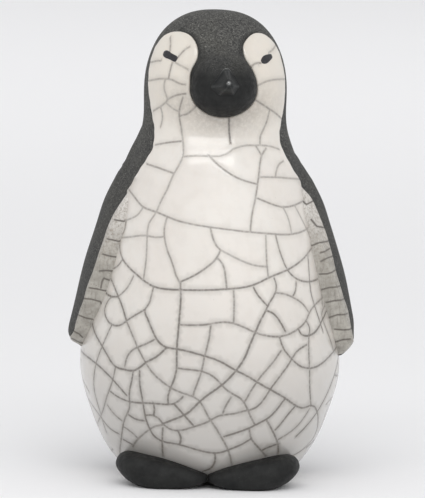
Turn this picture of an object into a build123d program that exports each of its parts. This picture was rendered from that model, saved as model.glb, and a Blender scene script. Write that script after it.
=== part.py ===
"""Hollow stoneware penguin figurine: bare smoked clay with a white crackle glaze on its front.

Millimetres, +Z up. The origin is on the surface that the figurine stands on, under its
middle. It faces -Y, and +X is its own left.
"""

import math
import os

from build123d import *

# Overall sizes
torso_height = 113.0
head_height = 47.8
body_width = 88.4
belly_reach = 41.5
back_reach = 38.0
head_width = 49.0
face_reach = 21.5
nape_reach = 26.0
head_turn = 6.0

# Clay and glaze
wall = 5.0
glaze_thickness = 0.5
slip_film = 0.1
cut_overrun = 20.0

# Base
base_thickness = 5.0
base_recess = 1.0
vent_radius = 4.0
dry_foot_height = 1.5

# Muzzle ball and the brow strip above it, with heights above the neck joint
muzzle_width = 24.0
muzzle_depth = 19.0
muzzle_height = 22.5
muzzle_sink = 2.5
brow_rise = 1.5
brow_waist_width = 15.6
brow_foot_width = 20.0
brow_foot_height = 27.5
brow_top_width = 25.0
brow_length = 15.0

# Beak
beak_width = 11.5
beak_depth = 9.0
beak_height = 26.0
beak_length = 7.5
beak_root_depth = 7.0

# Eyes, set across the white patches from the brow strip to their outer edge
eye_place_share = 0.556
eye_height = 33.4
eye_length = 4.4
eye_width = 1.7
eye_tilt = 24.0
eye_rise = 0.2

# White face patches
face_patch_inset = 0.7
face_patch_height = 41.2
face_patch_overlap = 5.0

# Flippers
flipper_length = 69.5
flipper_chord = 37.0
flipper_thickness = 7.4
flipper_root_depth = 18.0
flipper_glaze_thickness = 0.4
flipper_glaze_margin = 0.5

# Feet
foot_length = 31.2
foot_width = 26.0
foot_spread = 31.5
foot_splay = 4.0
foot_outer_height = 12.0
foot_inner_height = 4.8
foot_set_forward = 0.5

# Tail
tail_root_depth = 12.0
tail_root_height = 15.0
tail_tip_height = 7.0
tail_width = 18.0
tail_thickness = 11.0

os.makedirs("parts", exist_ok=True)

# Sections of the torso, from the base to just under the neck joint: height as a share
# of torso_height, then half width, reach to the front and reach to the back as shares
# of body_width / 2, belly_reach and back_reach.
torso_section_shares = [
    (0.000, 0.566, 0.578, 0.660),
    (0.044, 0.688, 0.711, 0.790),
    (0.106, 0.808, 0.831, 0.895),
    (0.212, 0.925, 0.940, 0.974),
    (0.336, 1.000, 1.000, 1.000),
    (0.442, 0.971, 0.990, 0.982),
    (0.566, 0.887, 0.930, 0.947),
    (0.708, 0.814, 0.840, 0.890),
    (0.832, 0.751, 0.735, 0.830),
    (0.920, 0.686, 0.640, 0.770),
]

# Sections of the head from the neck joint up: height as a share of head_height, then
# shares of head_width / 2, face_reach and nape_reach.
head_section_shares = [
    (0.000, 1.098, 1.042, 1.054),
    (0.167, 1.000, 0.930, 1.000),
    (0.377, 1.000, 1.000, 1.000),
    (0.565, 0.972, 1.000, 0.965),
    (0.745, 0.859, 0.885, 0.856),
    (0.872, 0.680, 0.685, 0.676),
    (0.953, 0.458, 0.458, 0.458),
    (0.989, 0.262, 0.262, 0.262),
    (1.000, 0.060, 0.060, 0.060),
]
dome_start_share = 0.5

# Back edge of the white glaze on one side of the torso, seen from the side: height as a
# share of torso_height, and reach behind the middle as a share of back_reach.
glaze_edge_shares = [
    (0.000, 0.210),
    (0.310, 0.158),
    (0.400, 0.050),
    (0.752, -0.080),
    (0.841, -0.210),
    (0.920, -0.315),
    (1.000, -0.342),
]

# Outer edge of the white face patch on one side, from the neck joint to its top: half
# width as a share of face_patch_half_width, and height as a share of face_patch_height.
face_patch_half_width = head_width / 2 - face_patch_inset
face_edge_shares = [
    (0.937, 0.000),
    (0.886, 0.121),
    (0.924, 0.266),
    (0.979, 0.411),
    (1.000, 0.543),
    (0.983, 0.671),
    (0.924, 0.773),
    (0.840, 0.877),
    (0.714, 0.964),
    (0.546, 1.000),
]

# Sections of one flipper, from its tip to the shoulder: height as a share of
# flipper_length, then how far the outer end of its front edge and its widest line stand
# off the torso's side as shares of flipper_thickness, and its front and rear as shares
# of flipper_chord.
flipper_section_shares = [
    (0.000, 0.47, 0.57, -0.110, 0.110),
    (0.043, 0.66, 0.78, -0.200, 0.230),
    (0.141, 0.62, 0.92, -0.300, 0.390),
    (0.237, 0.58, 0.95, -0.350, 0.490),
    (0.345, 0.51, 0.98, -0.380, 0.550),
    (0.482, 0.29, 0.87, -0.400, 0.590),
    (0.640, 0.00, 0.68, -0.390, 0.570),
    (0.734, -0.22, 0.59, -0.370, 0.530),
    (0.870, -0.58, 0.29, -0.280, 0.430),
    (1.000, -0.86, -0.05, -0.160, 0.270),
]
flipper_glaze_rows = slice(1, 8)

# Outline of the beak seen from the front, as shares of beak_width / 2 and beak_depth / 2,
# and its sections from root to tip: reach and size as shares.
beak_outline_shares = [
    (0.000, 1.000),
    (0.550, 0.560),
    (1.000, -0.050),
    (0.620, -0.900),
    (-0.620, -0.900),
    (-1.000, -0.050),
    (-0.550, 0.560),
]
beak_section_shares = [
    (0.000, 1.150),
    (0.450, 1.000),
    (0.800, 0.560),
    (0.960, 0.260),
    (1.000, 0.120),
]

# Sections of one foot from the ground up: the way up, how far the section reaches out and in
# from the middle as shares of foot_length / 2, and its width as a share of foot_width.
foot_section_shares = [
    (0.00, 0.66, 0.82, 0.90),
    (0.14, 0.81, 0.92, 0.96),
    (0.36, 0.93, 0.98, 1.00),
    (0.62, 1.00, 1.00, 1.00),
    (0.84, 0.95, 0.96, 0.91),
    (0.96, 0.82, 0.85, 0.74),
    (1.00, 0.60, 0.66, 0.50),
]

# Sections of the tail from root to tip: the way along it and its thickness as shares.
tail_section_shares = [
    (0.00, 1.00),
    (0.50, 0.86),
    (0.85, 0.56),
    (1.00, 0.30),
]

# The face looks along this plane's normal: x is to the figurine's left, and y is up
# from the neck joint.
turn = math.radians(head_turn)
facing = Plane(
    origin=(0, 0, torso_height),
    x_dir=(math.cos(turn), math.sin(turn), 0),
    z_dir=(math.sin(turn), -math.cos(turn), 0),
)


def sections(grow, brow):
    """Height, half width, front reach and back reach of each section, grown by a thickness.

    The face alone stands forward by a further amount, brow, which fades out to the crown.
    """
    found = []
    for height, width, front, back in torso_section_shares:
        found.append(
            (
                height * torso_height,
                width * body_width / 2 + grow,
                front * belly_reach + grow,
                back * back_reach + grow,
            )
        )
    for height, width, front, back in head_section_shares:
        # The dome closes over the crown, so a grown dome is the dome scaled up.
        on_dome = height > dome_start_share
        spread = grow * width if on_dome else grow
        lift = grow if on_dome else 0
        found.append(
            (
                torso_height + height * (head_height + lift),
                width * head_width / 2 + spread,
                front * (face_reach + brow) + spread,
                back * nape_reach + spread,
            )
        )
    return found


def figure_form(grow, brow=0):
    """The smooth solid form of torso and head, grown by a thickness, or shrunk below zero."""
    with BuildPart() as form:
        for height, half_width, front, back in sections(grow, brow):
            with BuildSketch(Plane.XY.offset(height)):
                with BuildLine():
                    EllipticalCenterArc((0, 0), half_width, front, 180, arc_size=180)
                    EllipticalCenterArc((0, 0), half_width, back, 0, arc_size=180)
                make_face()
        loft()
    return form.part


clay_form = figure_form(0)
film_form = figure_form(slip_film)
coat_form = figure_form(glaze_thickness)
coat_film_form = figure_form(glaze_thickness + slip_film)
hollow_form = figure_form(-wall)
slab_form = figure_form(-wall - slip_film)

# Torso: a hollow shell, open at the neck and under the base
with BuildPart() as torso_shell:
    add(clay_form)
    add(hollow_form, mode=Mode.SUBTRACT)
    split(bisect_by=Plane.XY.offset(torso_height), keep=Keep.BOTTOM)
torso_shell.part.label = "torso_shell"
export_step(torso_shell.part, "parts/torso_shell.step")

# Head: a hollow dome, luted to the torso at the neck
with BuildPart() as head_shell:
    add(clay_form)
    add(hollow_form, mode=Mode.SUBTRACT)
    split(bisect_by=Plane.XY.offset(torso_height + slip_film), keep=Keep.TOP)
head_shell.part.label = "head_shell"
export_step(head_shell.part, "parts/head_shell.step")

# Base: a slab that closes the torso, set back from the ring it stands on, with a kiln vent
with BuildPart() as base_slab:
    add(slab_form)
    split(bisect_by=Plane.XY.offset(base_recess), keep=Keep.TOP)
    split(bisect_by=Plane.XY.offset(base_recess + base_thickness), keep=Keep.BOTTOM)
    with Locations((0, 0, base_recess)):
        Hole(vent_radius)
base_slab.part.label = "base_slab"
export_step(base_slab.part, "parts/base_slab.step")


# Sections of the muzzle ball from its underside up: height as a share of muzzle_depth / 2
# and radius as a share of muzzle_width / 2.
ball_section_shares = [
    (-1.000, 0.060),
    (-0.970, 0.243),
    (-0.820, 0.572),
    (-0.500, 0.866),
    (0.000, 1.000),
    (0.500, 0.866),
    (0.820, 0.572),
    (0.970, 0.243),
    (1.000, 0.060),
]
muzzle_centre_reach = face_reach - muzzle_sink


def muzzle_ball(grow):
    """The round end of the muzzle, flattened a little from above and below."""
    centre = facing.from_local_coords((0, muzzle_height, muzzle_centre_reach))
    with BuildPart() as ball:
        for up, size in ball_section_shares:
            height = centre.Z + up * (muzzle_depth / 2 + grow)
            with BuildSketch(Plane(origin=(centre.X, centre.Y, height))):
                Circle(size * (muzzle_width / 2 + grow))
        loft()
    return ball.part


def muzzle_prism(grow):
    """The outline of the muzzle ball, run forward."""
    with BuildPart() as prism:
        with BuildSketch(facing):
            with Locations((0, muzzle_height)):
                Ellipse(muzzle_width / 2 + grow, muzzle_depth / 2 + grow)
        extrude(amount=face_reach + cut_overrun)
    return prism.part


def brow_prism(grow):
    """The outline of the brow strip, run forward: narrow between the eyes, wide at the crown."""
    foot = (brow_foot_width / 2 + grow, brow_foot_height)
    waist = (brow_waist_width / 2 + grow, brow_foot_height + brow_length / 2)
    top = (brow_top_width / 2 + grow, brow_foot_height + brow_length + grow)
    with BuildPart() as prism:
        with BuildSketch(facing):
            with BuildLine():
                ThreePointArc(foot, waist, top)
                Line(top, (-top[0], top[1]))
                ThreePointArc((-top[0], top[1]), (-waist[0], waist[1]), (-foot[0], foot[1]))
                Line((-foot[0], foot[1]), foot)
            make_face()
        extrude(amount=face_reach + cut_overrun)
    return prism.part


# Muzzle: one lump of clay, a ball in front of the face and a strip from it up the brow
brow_form = figure_form(0, brow_rise)
with BuildPart() as muzzle:
    add(brow_form)
    add(brow_prism(0), mode=Mode.INTERSECT)
    add(muzzle_ball(0))
    add(film_form, mode=Mode.SUBTRACT)
muzzle.part.label = "muzzle"
export_step(muzzle.part, "parts/muzzle.step")


def beak_form(grow):
    """A short faceted cone with a blunt tip."""
    muzzle_front = muzzle_centre_reach + muzzle_width / 2
    with BuildPart() as cone:
        for way, size in beak_section_shares:
            reach = muzzle_front - beak_root_depth + way * (beak_root_depth + beak_length) + grow
            with BuildSketch(facing.offset(reach)):
                with BuildLine():
                    corners = [
                        (
                            across * (size * beak_width / 2 + grow),
                            beak_height + up * (size * beak_depth / 2 + grow),
                        )
                        for across, up in beak_outline_shares
                    ]
                    Polyline(corners, close=True)
                make_face()
        loft(ruled=True)
    return cone.part


# Beak: a cone luted into the front of the muzzle
with BuildPart() as beak:
    add(beak_form(0))
    add(muzzle_ball(slip_film), mode=Mode.SUBTRACT)
    add(film_form, mode=Mode.SUBTRACT)
beak.part.label = "beak"
export_step(beak.part, "parts/beak.step")


brow_half_waist = brow_waist_width / 2
eye_reach_across = brow_half_waist + eye_place_share * (face_patch_half_width - brow_half_waist)


def eye_plug(side, grow):
    """A slit across the white face patch, run forward, slanting down towards the muzzle."""
    with BuildPart() as plug:
        with BuildSketch(facing):
            with Locations((side * eye_reach_across, eye_height)):
                SlotOverall(eye_length + 2 * grow, eye_width + 2 * grow, rotation=side * eye_tilt)
        extrude(amount=face_reach + cut_overrun)
    return plug.part


# Eyes: two slits filled with dark oxide glaze, standing a little above the white around them
eye_surface = figure_form(glaze_thickness + eye_rise)
for name, side in (("left_eye", 1), ("right_eye", -1)):
    with BuildPart() as eye:
        add(eye_surface)
        add(film_form, mode=Mode.SUBTRACT)
        add(eye_plug(side, 0), mode=Mode.INTERSECT)
    eye.part.label = name
    export_step(eye.part, f"parts/{name}.step")


def torso_side(level):
    """Half width of the torso at a height, straight between its sections."""
    rows = sections(0, 0)
    for (low, low_width, _, _), (high, high_width, _, _) in zip(rows, rows[1:]):
        if low <= level <= high:
            return low_width + (level - low) / (high - low) * (high_width - low_width)
    return low_width


def flipper_form(grow):
    """The left flipper, run deep into the torso that it lies against."""
    with BuildPart() as paddle:
        for up, edge, widest, front, rear in flipper_section_shares:
            level = torso_height - (1 - up) * flipper_length
            if up == 0:
                level = level - grow
            edge_x = torso_side(level) + edge * flipper_thickness + grow
            widest_x = torso_side(level) + widest * flipper_thickness + grow
            front_y = front * flipper_chord - grow
            rear_y = rear * flipper_chord + grow
            with BuildSketch(Plane.XY.offset(level)):
                with BuildLine():
                    Line((edge_x - flipper_root_depth, front_y), (edge_x, front_y))
                    ThreePointArc(
                        (edge_x, front_y), (widest_x, (front_y + rear_y) / 2), (edge_x, rear_y)
                    )
                    Line((edge_x, rear_y), (edge_x - flipper_root_depth, rear_y))
                    Line((edge_x - flipper_root_depth, rear_y), (edge_x - flipper_root_depth, front_y))
                make_face()
        loft()
    return paddle.part


def flipper_edge_bar():
    """A bar along the left flipper's front edge, as far forward as its glaze."""
    with BuildPart() as bar:
        for up, edge, widest, front, rear in flipper_section_shares[flipper_glaze_rows]:
            level = torso_height - (1 - up) * flipper_length
            edge_x = torso_side(level) + edge * flipper_thickness - flipper_glaze_margin
            front_y = front * flipper_chord - flipper_glaze_thickness - slip_film
            back_y = (front + rear) / 2 * flipper_chord
            with BuildSketch(Plane.XY.offset(level)):
                with BuildLine():
                    Polyline(
                        (edge_x - flipper_root_depth, front_y),
                        (edge_x, front_y),
                        (edge_x, back_y),
                        (edge_x - flipper_root_depth, back_y),
                        close=True,
                    )
                make_face()
        loft()
    return bar.part


# Flippers: two slabs of clay luted along the sides of the torso
flipper_film_form = flipper_form(slip_film)
with BuildPart() as left_flipper:
    add(flipper_form(0))
    add(film_form, mode=Mode.SUBTRACT)
left_flipper.part.label = "left_flipper"
export_step(left_flipper.part, "parts/left_flipper.step")

with BuildPart() as right_flipper:
    mirror(left_flipper.part, about=Plane.YZ)
right_flipper.part.label = "right_flipper"
export_step(right_flipper.part, "parts/right_flipper.step")

# Flipper glaze: a thin grey coat on the front edge of each flipper
with BuildPart() as left_flipper_glaze:
    add(flipper_edge_bar())
    add(flipper_film_form, mode=Mode.SUBTRACT)
    add(coat_film_form, mode=Mode.SUBTRACT)
left_flipper_glaze.part.label = "left_flipper_glaze"
export_step(left_flipper_glaze.part, "parts/left_flipper_glaze.step")

with BuildPart() as right_flipper_glaze:
    mirror(left_flipper_glaze.part, about=Plane.YZ)
right_flipper_glaze.part.label = "right_flipper_glaze"
export_step(right_flipper_glaze.part, "parts/right_flipper_glaze.step")


def foot_form(grow):
    """The left foot: a rounded slab, tall outside and low where the two feet meet.

    Its underside curves up most at the outer end.
    """
    slope = math.atan2(foot_outer_height - foot_inner_height, foot_spread)
    middle_height = (foot_outer_height + foot_inner_height) / 2 + grow
    ring_reach = sections(0, 0)[0][2]
    with BuildPart() as slab:
        for up, outer, inner, width in foot_section_shares:
            level = Plane(
                origin=(foot_spread / 2, -ring_reach - foot_set_forward, up * middle_height),
                x_dir=(math.cos(up * slope), 0, math.sin(up * slope)),
                z_dir=(-math.sin(up * slope), 0, math.cos(up * slope)),
            )
            half_length = (outer + inner) / 2 * foot_length / 2
            with BuildSketch(level):
                with Locations(((outer - inner) / 2 * foot_length / 2, 0)):
                    Ellipse(half_length + grow, width * foot_width / 2 + grow, rotation=-foot_splay)
        loft()
    return slab.part


# Feet: two slabs of clay in a V under the front of the torso
foot_film_form = foot_form(slip_film)
with BuildPart() as left_foot:
    add(foot_form(0))
    add(film_form, mode=Mode.SUBTRACT)
left_foot.part.label = "left_foot"
export_step(left_foot.part, "parts/left_foot.step")

with BuildPart() as right_foot:
    mirror(left_foot.part, about=Plane.YZ)
right_foot.part.label = "right_foot"
export_step(right_foot.part, "parts/right_foot.step")

# Tail: a short stub low on the back, reaching as far behind as the belly does in front
tail_root_reach = back_reach - tail_root_depth
tail_tip_reach = belly_reach + glaze_thickness
with BuildPart() as tail:
    for way, size in tail_section_shares:
        reach = tail_root_reach + way * (tail_tip_reach - tail_root_reach)
        height = tail_root_height + way * (tail_tip_height - tail_root_height)
        with BuildSketch(Plane(origin=(0, reach, height), x_dir=(-1, 0, 0), z_dir=(0, 1, 0))):
            Ellipse(size * tail_width / 2, size * tail_thickness / 2)
    loft()
    add(film_form, mode=Mode.SUBTRACT)
tail.part.label = "tail"
export_step(tail.part, "parts/tail.step")


def torso_glaze_prism():
    """What lies in front of the white glaze's back edge, seen from the side."""
    edge = [(reach * back_reach, up * torso_height) for up, reach in glaze_edge_shares]
    front = -belly_reach - cut_overrun
    with BuildPart() as prism:
        with BuildSketch(Plane.YZ):
            with BuildLine():
                Spline(edge)
                Polyline(edge[-1], (front, torso_height), (front, 0), edge[0])
            make_face()
        extrude(amount=body_width, both=True)
        split(bisect_by=Plane.XY.offset(dry_foot_height), keep=Keep.TOP)
    return prism.part


def face_glaze_prism():
    """The outline of the two white face patches and the throat, run forward."""
    edge = [
        (across * face_patch_half_width, up * face_patch_height) for across, up in face_edge_shares
    ]
    far_edge = [(-x, y) for x, y in reversed(edge)]
    with BuildPart() as prism:
        with BuildSketch(facing):
            with BuildLine():
                Spline(edge)
                Line(edge[-1], far_edge[0])
                Spline(far_edge)
                throat_corner = (far_edge[-1][0], -face_patch_overlap)
                Polyline(far_edge[-1], throat_corner, (edge[0][0], -face_patch_overlap), edge[0])
            make_face()
        extrude(amount=face_reach + cut_overrun)
    return prism.part


with BuildPart() as glaze_outline:
    add(torso_glaze_prism())
    add(face_glaze_prism())

# White glaze: one coat over the belly, chest and throat that runs up beside the brow
with BuildPart() as front_glaze:
    add(coat_form)
    add(film_form, mode=Mode.SUBTRACT)
    add(glaze_outline.part, mode=Mode.INTERSECT)
    add(muzzle_prism(slip_film), mode=Mode.SUBTRACT)
    add(brow_prism(slip_film), mode=Mode.SUBTRACT)
    add(eye_plug(1, slip_film), mode=Mode.SUBTRACT)
    add(eye_plug(-1, slip_film), mode=Mode.SUBTRACT)
    add(flipper_film_form, mode=Mode.SUBTRACT)
    mirror(flipper_film_form, about=Plane.YZ, mode=Mode.SUBTRACT)
    add(foot_film_form, mode=Mode.SUBTRACT)
    mirror(foot_film_form, about=Plane.YZ, mode=Mode.SUBTRACT)
front_glaze.part.label = "front_glaze"
export_step(front_glaze.part, "parts/front_glaze.step")
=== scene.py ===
"""Hollow stoneware penguin figurine: smoked black clay with a white crackle glaze on its front.

Lengths are in millimetres here and become metres when a mesh is made. +Z is up, the
figurine faces -Y and +X is its own left.
"""

import math

import bpy
import numpy as np
from mathutils import Matrix, Vector, kdtree
from mathutils.geometry import delaunay_2d_cdt


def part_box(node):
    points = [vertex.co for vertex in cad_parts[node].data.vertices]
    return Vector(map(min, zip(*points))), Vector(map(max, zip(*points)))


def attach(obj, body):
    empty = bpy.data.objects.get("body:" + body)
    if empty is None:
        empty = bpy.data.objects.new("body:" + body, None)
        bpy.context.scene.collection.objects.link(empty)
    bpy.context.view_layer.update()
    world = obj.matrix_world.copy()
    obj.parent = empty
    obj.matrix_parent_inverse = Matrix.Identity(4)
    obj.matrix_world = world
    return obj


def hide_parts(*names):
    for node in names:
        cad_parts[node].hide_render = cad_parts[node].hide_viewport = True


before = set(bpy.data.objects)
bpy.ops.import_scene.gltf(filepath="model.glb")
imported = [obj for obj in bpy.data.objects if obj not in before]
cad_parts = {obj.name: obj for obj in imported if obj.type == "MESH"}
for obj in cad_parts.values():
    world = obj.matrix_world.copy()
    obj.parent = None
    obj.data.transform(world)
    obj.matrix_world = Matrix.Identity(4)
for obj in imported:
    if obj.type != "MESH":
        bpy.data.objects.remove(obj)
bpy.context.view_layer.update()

METRE = 0.001


# Sizes read from the frame

def node_box(node):
    """Lowest and highest corner of a CAD node in millimetres."""
    low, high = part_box(node)
    return np.array(low) / METRE, np.array(high) / METRE


torso_low, torso_high = node_box("torso_shell")
flipper_low, flipper_high = node_box("left_flipper")
tail_low, tail_high = node_box("tail")
head_high = node_box("head_shell")[1]

neck_section_share = 1.098
torso_height = torso_high[2]
head_height = head_high[2] - torso_height
half_body = torso_high[0]
belly_reach = -torso_low[1]
back_reach = torso_high[1]
half_head = head_high[0] / neck_section_share
face_reach = half_head * 0.8776
nape_reach = half_head * 1.0612
beak_reach = -node_box("beak")[0][1]
glaze_thickness = torso_low[1] - node_box("front_glaze")[0][1]
wall = 5.0
head_turn = math.radians(6)
head_roll = math.radians(0.6)
turn_cos, turn_sin = math.cos(head_turn), math.sin(head_turn)
roll_cos, roll_sin = math.cos(head_roll), math.sin(head_roll)


# Curves and numbers

def clamp(value):
    """The value kept between 0 and 1."""
    return np.clip(value, 0, 1)


def running(steps):
    """Sum of the steps up to each place, from 0 on."""
    return np.concatenate([[0], np.cumsum(steps)])


def length_along(points):
    """How far along a line of points each of them lies."""
    return running(np.linalg.norm(np.diff(points, axis=0), axis=1))


def rows_at(places, knots, rows):
    """Rows of values at the knots, read at other places on the straight lines between them."""
    return np.stack([np.interp(places, knots, column) for column in rows.T], axis=-1)


def unit(vectors):
    """The vectors with a length of 1."""
    return vectors / np.maximum(np.linalg.norm(vectors, axis=-1, keepdims=True), 1e-9)


def full_turn(count):
    """Evenly spaced angles round a ring."""
    return np.linspace(0, 2 * math.pi, count, endpoint=False)


def squared_off(value, power):
    """A sine or cosine raised to a power, with its sign."""
    return np.sign(value) * np.abs(value) ** power


def round_edge(share):
    """Height of a round edge: 0 at its foot and 1 from a share of 1 on."""
    return np.sqrt(1 - (1 - clamp(share)) ** 2)


def smooth_max(a, b, reach):
    """The larger of two values, rounded where they are within reach of each other."""
    blend = clamp(0.5 + (a - b) / (2 * reach))
    return a * blend + b * (1 - blend) + reach * blend * (1 - blend)


def smooth_through(knots, rows, places):
    """Natural cubic spline through rows of values at the knots, read at other places."""
    knots, rows, places = (np.asarray(each, float) for each in (knots, rows, places))
    gap = np.diff(knots)
    count = len(knots)
    matrix = np.eye(count)
    slopes = np.zeros_like(rows)
    rise = np.diff(rows, axis=0) / gap[:, None]
    for i in range(1, count - 1):
        matrix[i, i - 1 : i + 2] = gap[i - 1], 2 * (gap[i - 1] + gap[i]), gap[i]
        slopes[i] = 6 * (rise[i] - rise[i - 1])
    bend = np.linalg.solve(matrix, slopes)
    i = np.clip(np.searchsorted(knots, places) - 1, 0, count - 2)
    width = gap[i][..., None]
    after = (places - knots[i])[..., None] / width
    before = 1 - after
    curve = before * rows[i] + after * rows[i + 1]
    return curve + width**2 / 6 * ((before**3 - before) * bend[i] + (after**3 - after) * bend[i + 1])


# Sections from the base to the neck: height as a share of the torso's height, then half
# width, reach to the front and reach to the back as shares of the torso's own.
torso_section_shares = [
    (0.000, 0.566, 0.578, 0.660),
    (0.044, 0.688, 0.711, 0.790),
    (0.106, 0.808, 0.831, 0.895),
    (0.212, 0.925, 0.940, 0.974),
    (0.336, 1.000, 1.000, 1.000),
    (0.442, 0.971, 0.990, 0.982),
    (0.566, 0.887, 0.930, 0.947),
    (0.708, 0.814, 0.840, 0.890),
    (0.832, 0.751, 0.735, 0.830),
    (0.920, 0.698, 0.655, 0.770),
]

# Sections from the neck to the crown, as shares of the head's sizes
head_section_shares = [
    (0.000, 1.125, 1.112, 1.054),
    (0.167, 1.024, 0.938, 1.000),
    (0.377, 1.012, 1.000, 1.000),
    (0.565, 0.982, 1.000, 0.965),
    (0.745, 0.868, 0.885, 0.856),
    (0.872, 0.695, 0.685, 0.676),
    (0.953, 0.485, 0.458, 0.458),
    (0.989, 0.285, 0.262, 0.262),
    (1.000, 0.000, 0.000, 0.000),
]

# Profile: height, half width, front reach and back reach against the way up the surface
torso_sizes = [torso_height, half_body, belly_reach, back_reach]
head_sizes = [head_height, half_head, face_reach, nape_reach]
profile_rows = np.vstack([
    np.array(torso_section_shares) * torso_sizes,
    np.array(head_section_shares) * head_sizes + [torso_height, 0, 0, 0],
])
profile_rise, profile_spread = np.diff(profile_rows[:, 0]), np.diff(profile_rows[:, 1:].mean(axis=1))
profile_knots = running(np.hypot(profile_rise, profile_spread))
profile_length = profile_knots[-1]
profile_way = np.linspace(0, profile_length, 4001)
profile_table = smooth_through(profile_knots, profile_rows, profile_way)
profile_table[:, 0] = np.maximum.accumulate(profile_table[:, 0])
profile_table[:, 1:] = np.maximum(profile_table[:, 1:], 0)


def profile_at_height(height):
    """Half width, front reach and back reach at a height."""
    return [np.interp(height, profile_table[:, 0], column) for column in profile_table.T[1:]]


def way_at_height(height):
    return np.interp(height, profile_table[:, 0], profile_way)


# The clay form is laid out flat as its angle, times this many millimetres, and the way up it
domain_scale = 40.0
half_step = 0.05


def angle_way(flat):
    """Angle and way up the clay form of places in the flat layout."""
    return flat[..., 0] / domain_scale, flat[..., 1]


hollow_depth, ripple_depth = 0.16, 0.05


def unevenness(points):
    """Shallow hollows left by the maker's hands, always inwards."""
    x, y, z = points[..., 0], points[..., 1], points[..., 2]
    broad = np.sin(x / 8.5 + 1.3) * np.cos(y / 10 + 0.4) * np.sin(z / 12 + 0.9)
    fine = np.sin(x / 3.9 + z / 5.3) * np.sin(y / 4.6 - z / 6.1 + 1.7)
    return -hollow_depth * (1 + broad) - ripple_depth * (1 + fine)


def bare_surface(angle, way):
    """Points of the clay form without its unevenness. Angle 0 is the front, + to its left."""
    height, wide, front, back = [np.interp(way, profile_way, column) for column in profile_table.T]
    reach = np.where(np.cos(angle) > 0, front, back)
    return np.stack([wide * np.sin(angle), -reach * np.cos(angle), height], axis=-1)


def surface_steps(angle, way):
    """How the clay form moves on over a short step across it, and over one up it."""
    turn = half_step / domain_scale
    across = bare_surface(angle + turn, way) - bare_surface(angle - turn, way)
    along = bare_surface(angle, way + half_step) - bare_surface(angle, way - half_step)
    return across, along


def surface_frame(angle, way):
    """Points of the clay form and its unit normals there."""
    normal = np.cross(*surface_steps(angle, way))
    length = np.linalg.norm(normal, axis=-1, keepdims=True)
    normal = np.where(length > 1e-9, normal / np.maximum(length, 1e-9), np.array([0, 0, 1.0]))
    return bare_surface(angle, way), normal


def lifted(points, normals, lift=0.0):
    """Points of the uneven clay surface, moved outwards by lift."""
    return points + normals * (lift + unevenness(points))[..., None]


# Meshes

def add_object(name, data):
    new = bpy.data.objects.new(name, data)
    bpy.context.scene.collection.objects.link(new)
    return new


def add_mesh(name, points, faces):
    """A new object with a mesh made from millimetre points."""
    mesh = bpy.data.meshes.new(name)
    mesh.from_pydata((np.asarray(points) * METRE).tolist(), [], [tuple(face) for face in faces])
    mesh.validate()
    mesh.polygons.foreach_set("use_smooth", [True] * len(mesh.polygons))
    mesh.update()
    return add_object(name, mesh)


def grid_faces(rows, columns, start=0, wrap=True, flip=False):
    """Quads of a grid of points laid out row by row."""
    row, column = np.indices((rows - 1, columns if wrap else columns - 1))
    right = (column + 1) % columns
    here, above = start + row * columns, start + (row + 1) * columns
    quads = np.stack([here + column, here + right, above + right, above + column], axis=-1)
    return quads.reshape(-1, 4)[:, :: -1 if flip else 1].tolist()


def fan(start, columns, centre, flip=False):
    """Triangles from a ring of points to a point in its middle."""
    order = -1 if flip else 1
    return [(start + i, start + (i + 1) % columns, centre)[::order] for i in range(columns)]


def set_attribute(piece, name, values):
    attribute = piece.data.attributes.new(name, "FLOAT", "POINT")
    attribute.data.foreach_set("value", np.asarray(values, np.float32))


def dress(piece, material, slot_name, *nodes):
    """Gives a piece its material, hangs it on the body and hides the CAD nodes it stands for."""
    piece.data.materials.append(material)
    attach(piece, "root")
    if nodes:
        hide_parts(*nodes)


def add_tube(name, rings, material, slot_name, node, **marks):
    """A closed piece from rings of points, with a point in the middle of each end.

    Each mark is an attribute of the mesh, with a value for each point and then for both ends.
    """
    rings = np.asarray(rings, float)
    rows, columns = rings.shape[:2]
    first = rows * columns
    points = np.vstack([rings.reshape(-1, 3), rings[0].mean(axis=0), rings[-1].mean(axis=0)])
    faces = grid_faces(rows, columns) + fan(0, columns, first, flip=True)
    piece = add_mesh(name, points, faces + fan(first - columns, columns, first + 1))
    for mark, values in marks.items():
        set_attribute(piece, mark, values)
    dress(piece, material, slot_name, node)


# Camera: nearly parallel view from a little above, as in the photograph

image_width, image_height = 425, 498
camera_elevation = math.radians(7)
camera_distance = 2600.0
camera_roll = math.radians(1.17)
view_height = 170.84
view_centre = np.array([0.14, 0, 78.2])
view_forward = np.array([0, math.cos(camera_elevation), -math.sin(camera_elevation)])
level_up = np.array([0, math.sin(camera_elevation), math.cos(camera_elevation)])
level_right = np.array([1.0, 0, 0])
view_right = level_right * math.cos(camera_roll) + level_up * math.sin(camera_roll)
view_up = level_up * math.cos(camera_roll) - level_right * math.sin(camera_roll)
camera_place = view_centre - view_forward * camera_distance
pixels_per_mm = image_height / view_height


def add_camera():
    data = bpy.data.cameras.new("camera")
    data.sensor_width = 36
    data.lens = data.sensor_width * camera_distance / view_height
    data.clip_start = 0.05
    data.clip_end = 20
    camera = add_object("camera", data)
    camera.location = camera_place * METRE
    tilt = Matrix.Rotation(math.pi / 2 - camera_elevation, 3, "X")
    camera.rotation_euler = (tilt @ Matrix.Rotation(camera_roll, 3, "Z")).to_euler()
    bpy.context.scene.camera = camera


def pixels_of(view, chain):
    """Pixels of the photograph for places in an enlarged view."""
    return np.array(view["corner"], float) + np.array(chain, float) * view["step"]


def rays_through(pixels):
    """A ray from the camera's place through each pixel of the photograph."""
    pixels = np.asarray(pixels, float)
    return (
        view_forward * camera_distance
        + view_right * ((pixels[:, :1] - image_width / 2) / pixels_per_mm)
        + view_up * ((image_height / 2 - pixels[:, 1:]) / pixels_per_mm)
    )


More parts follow.
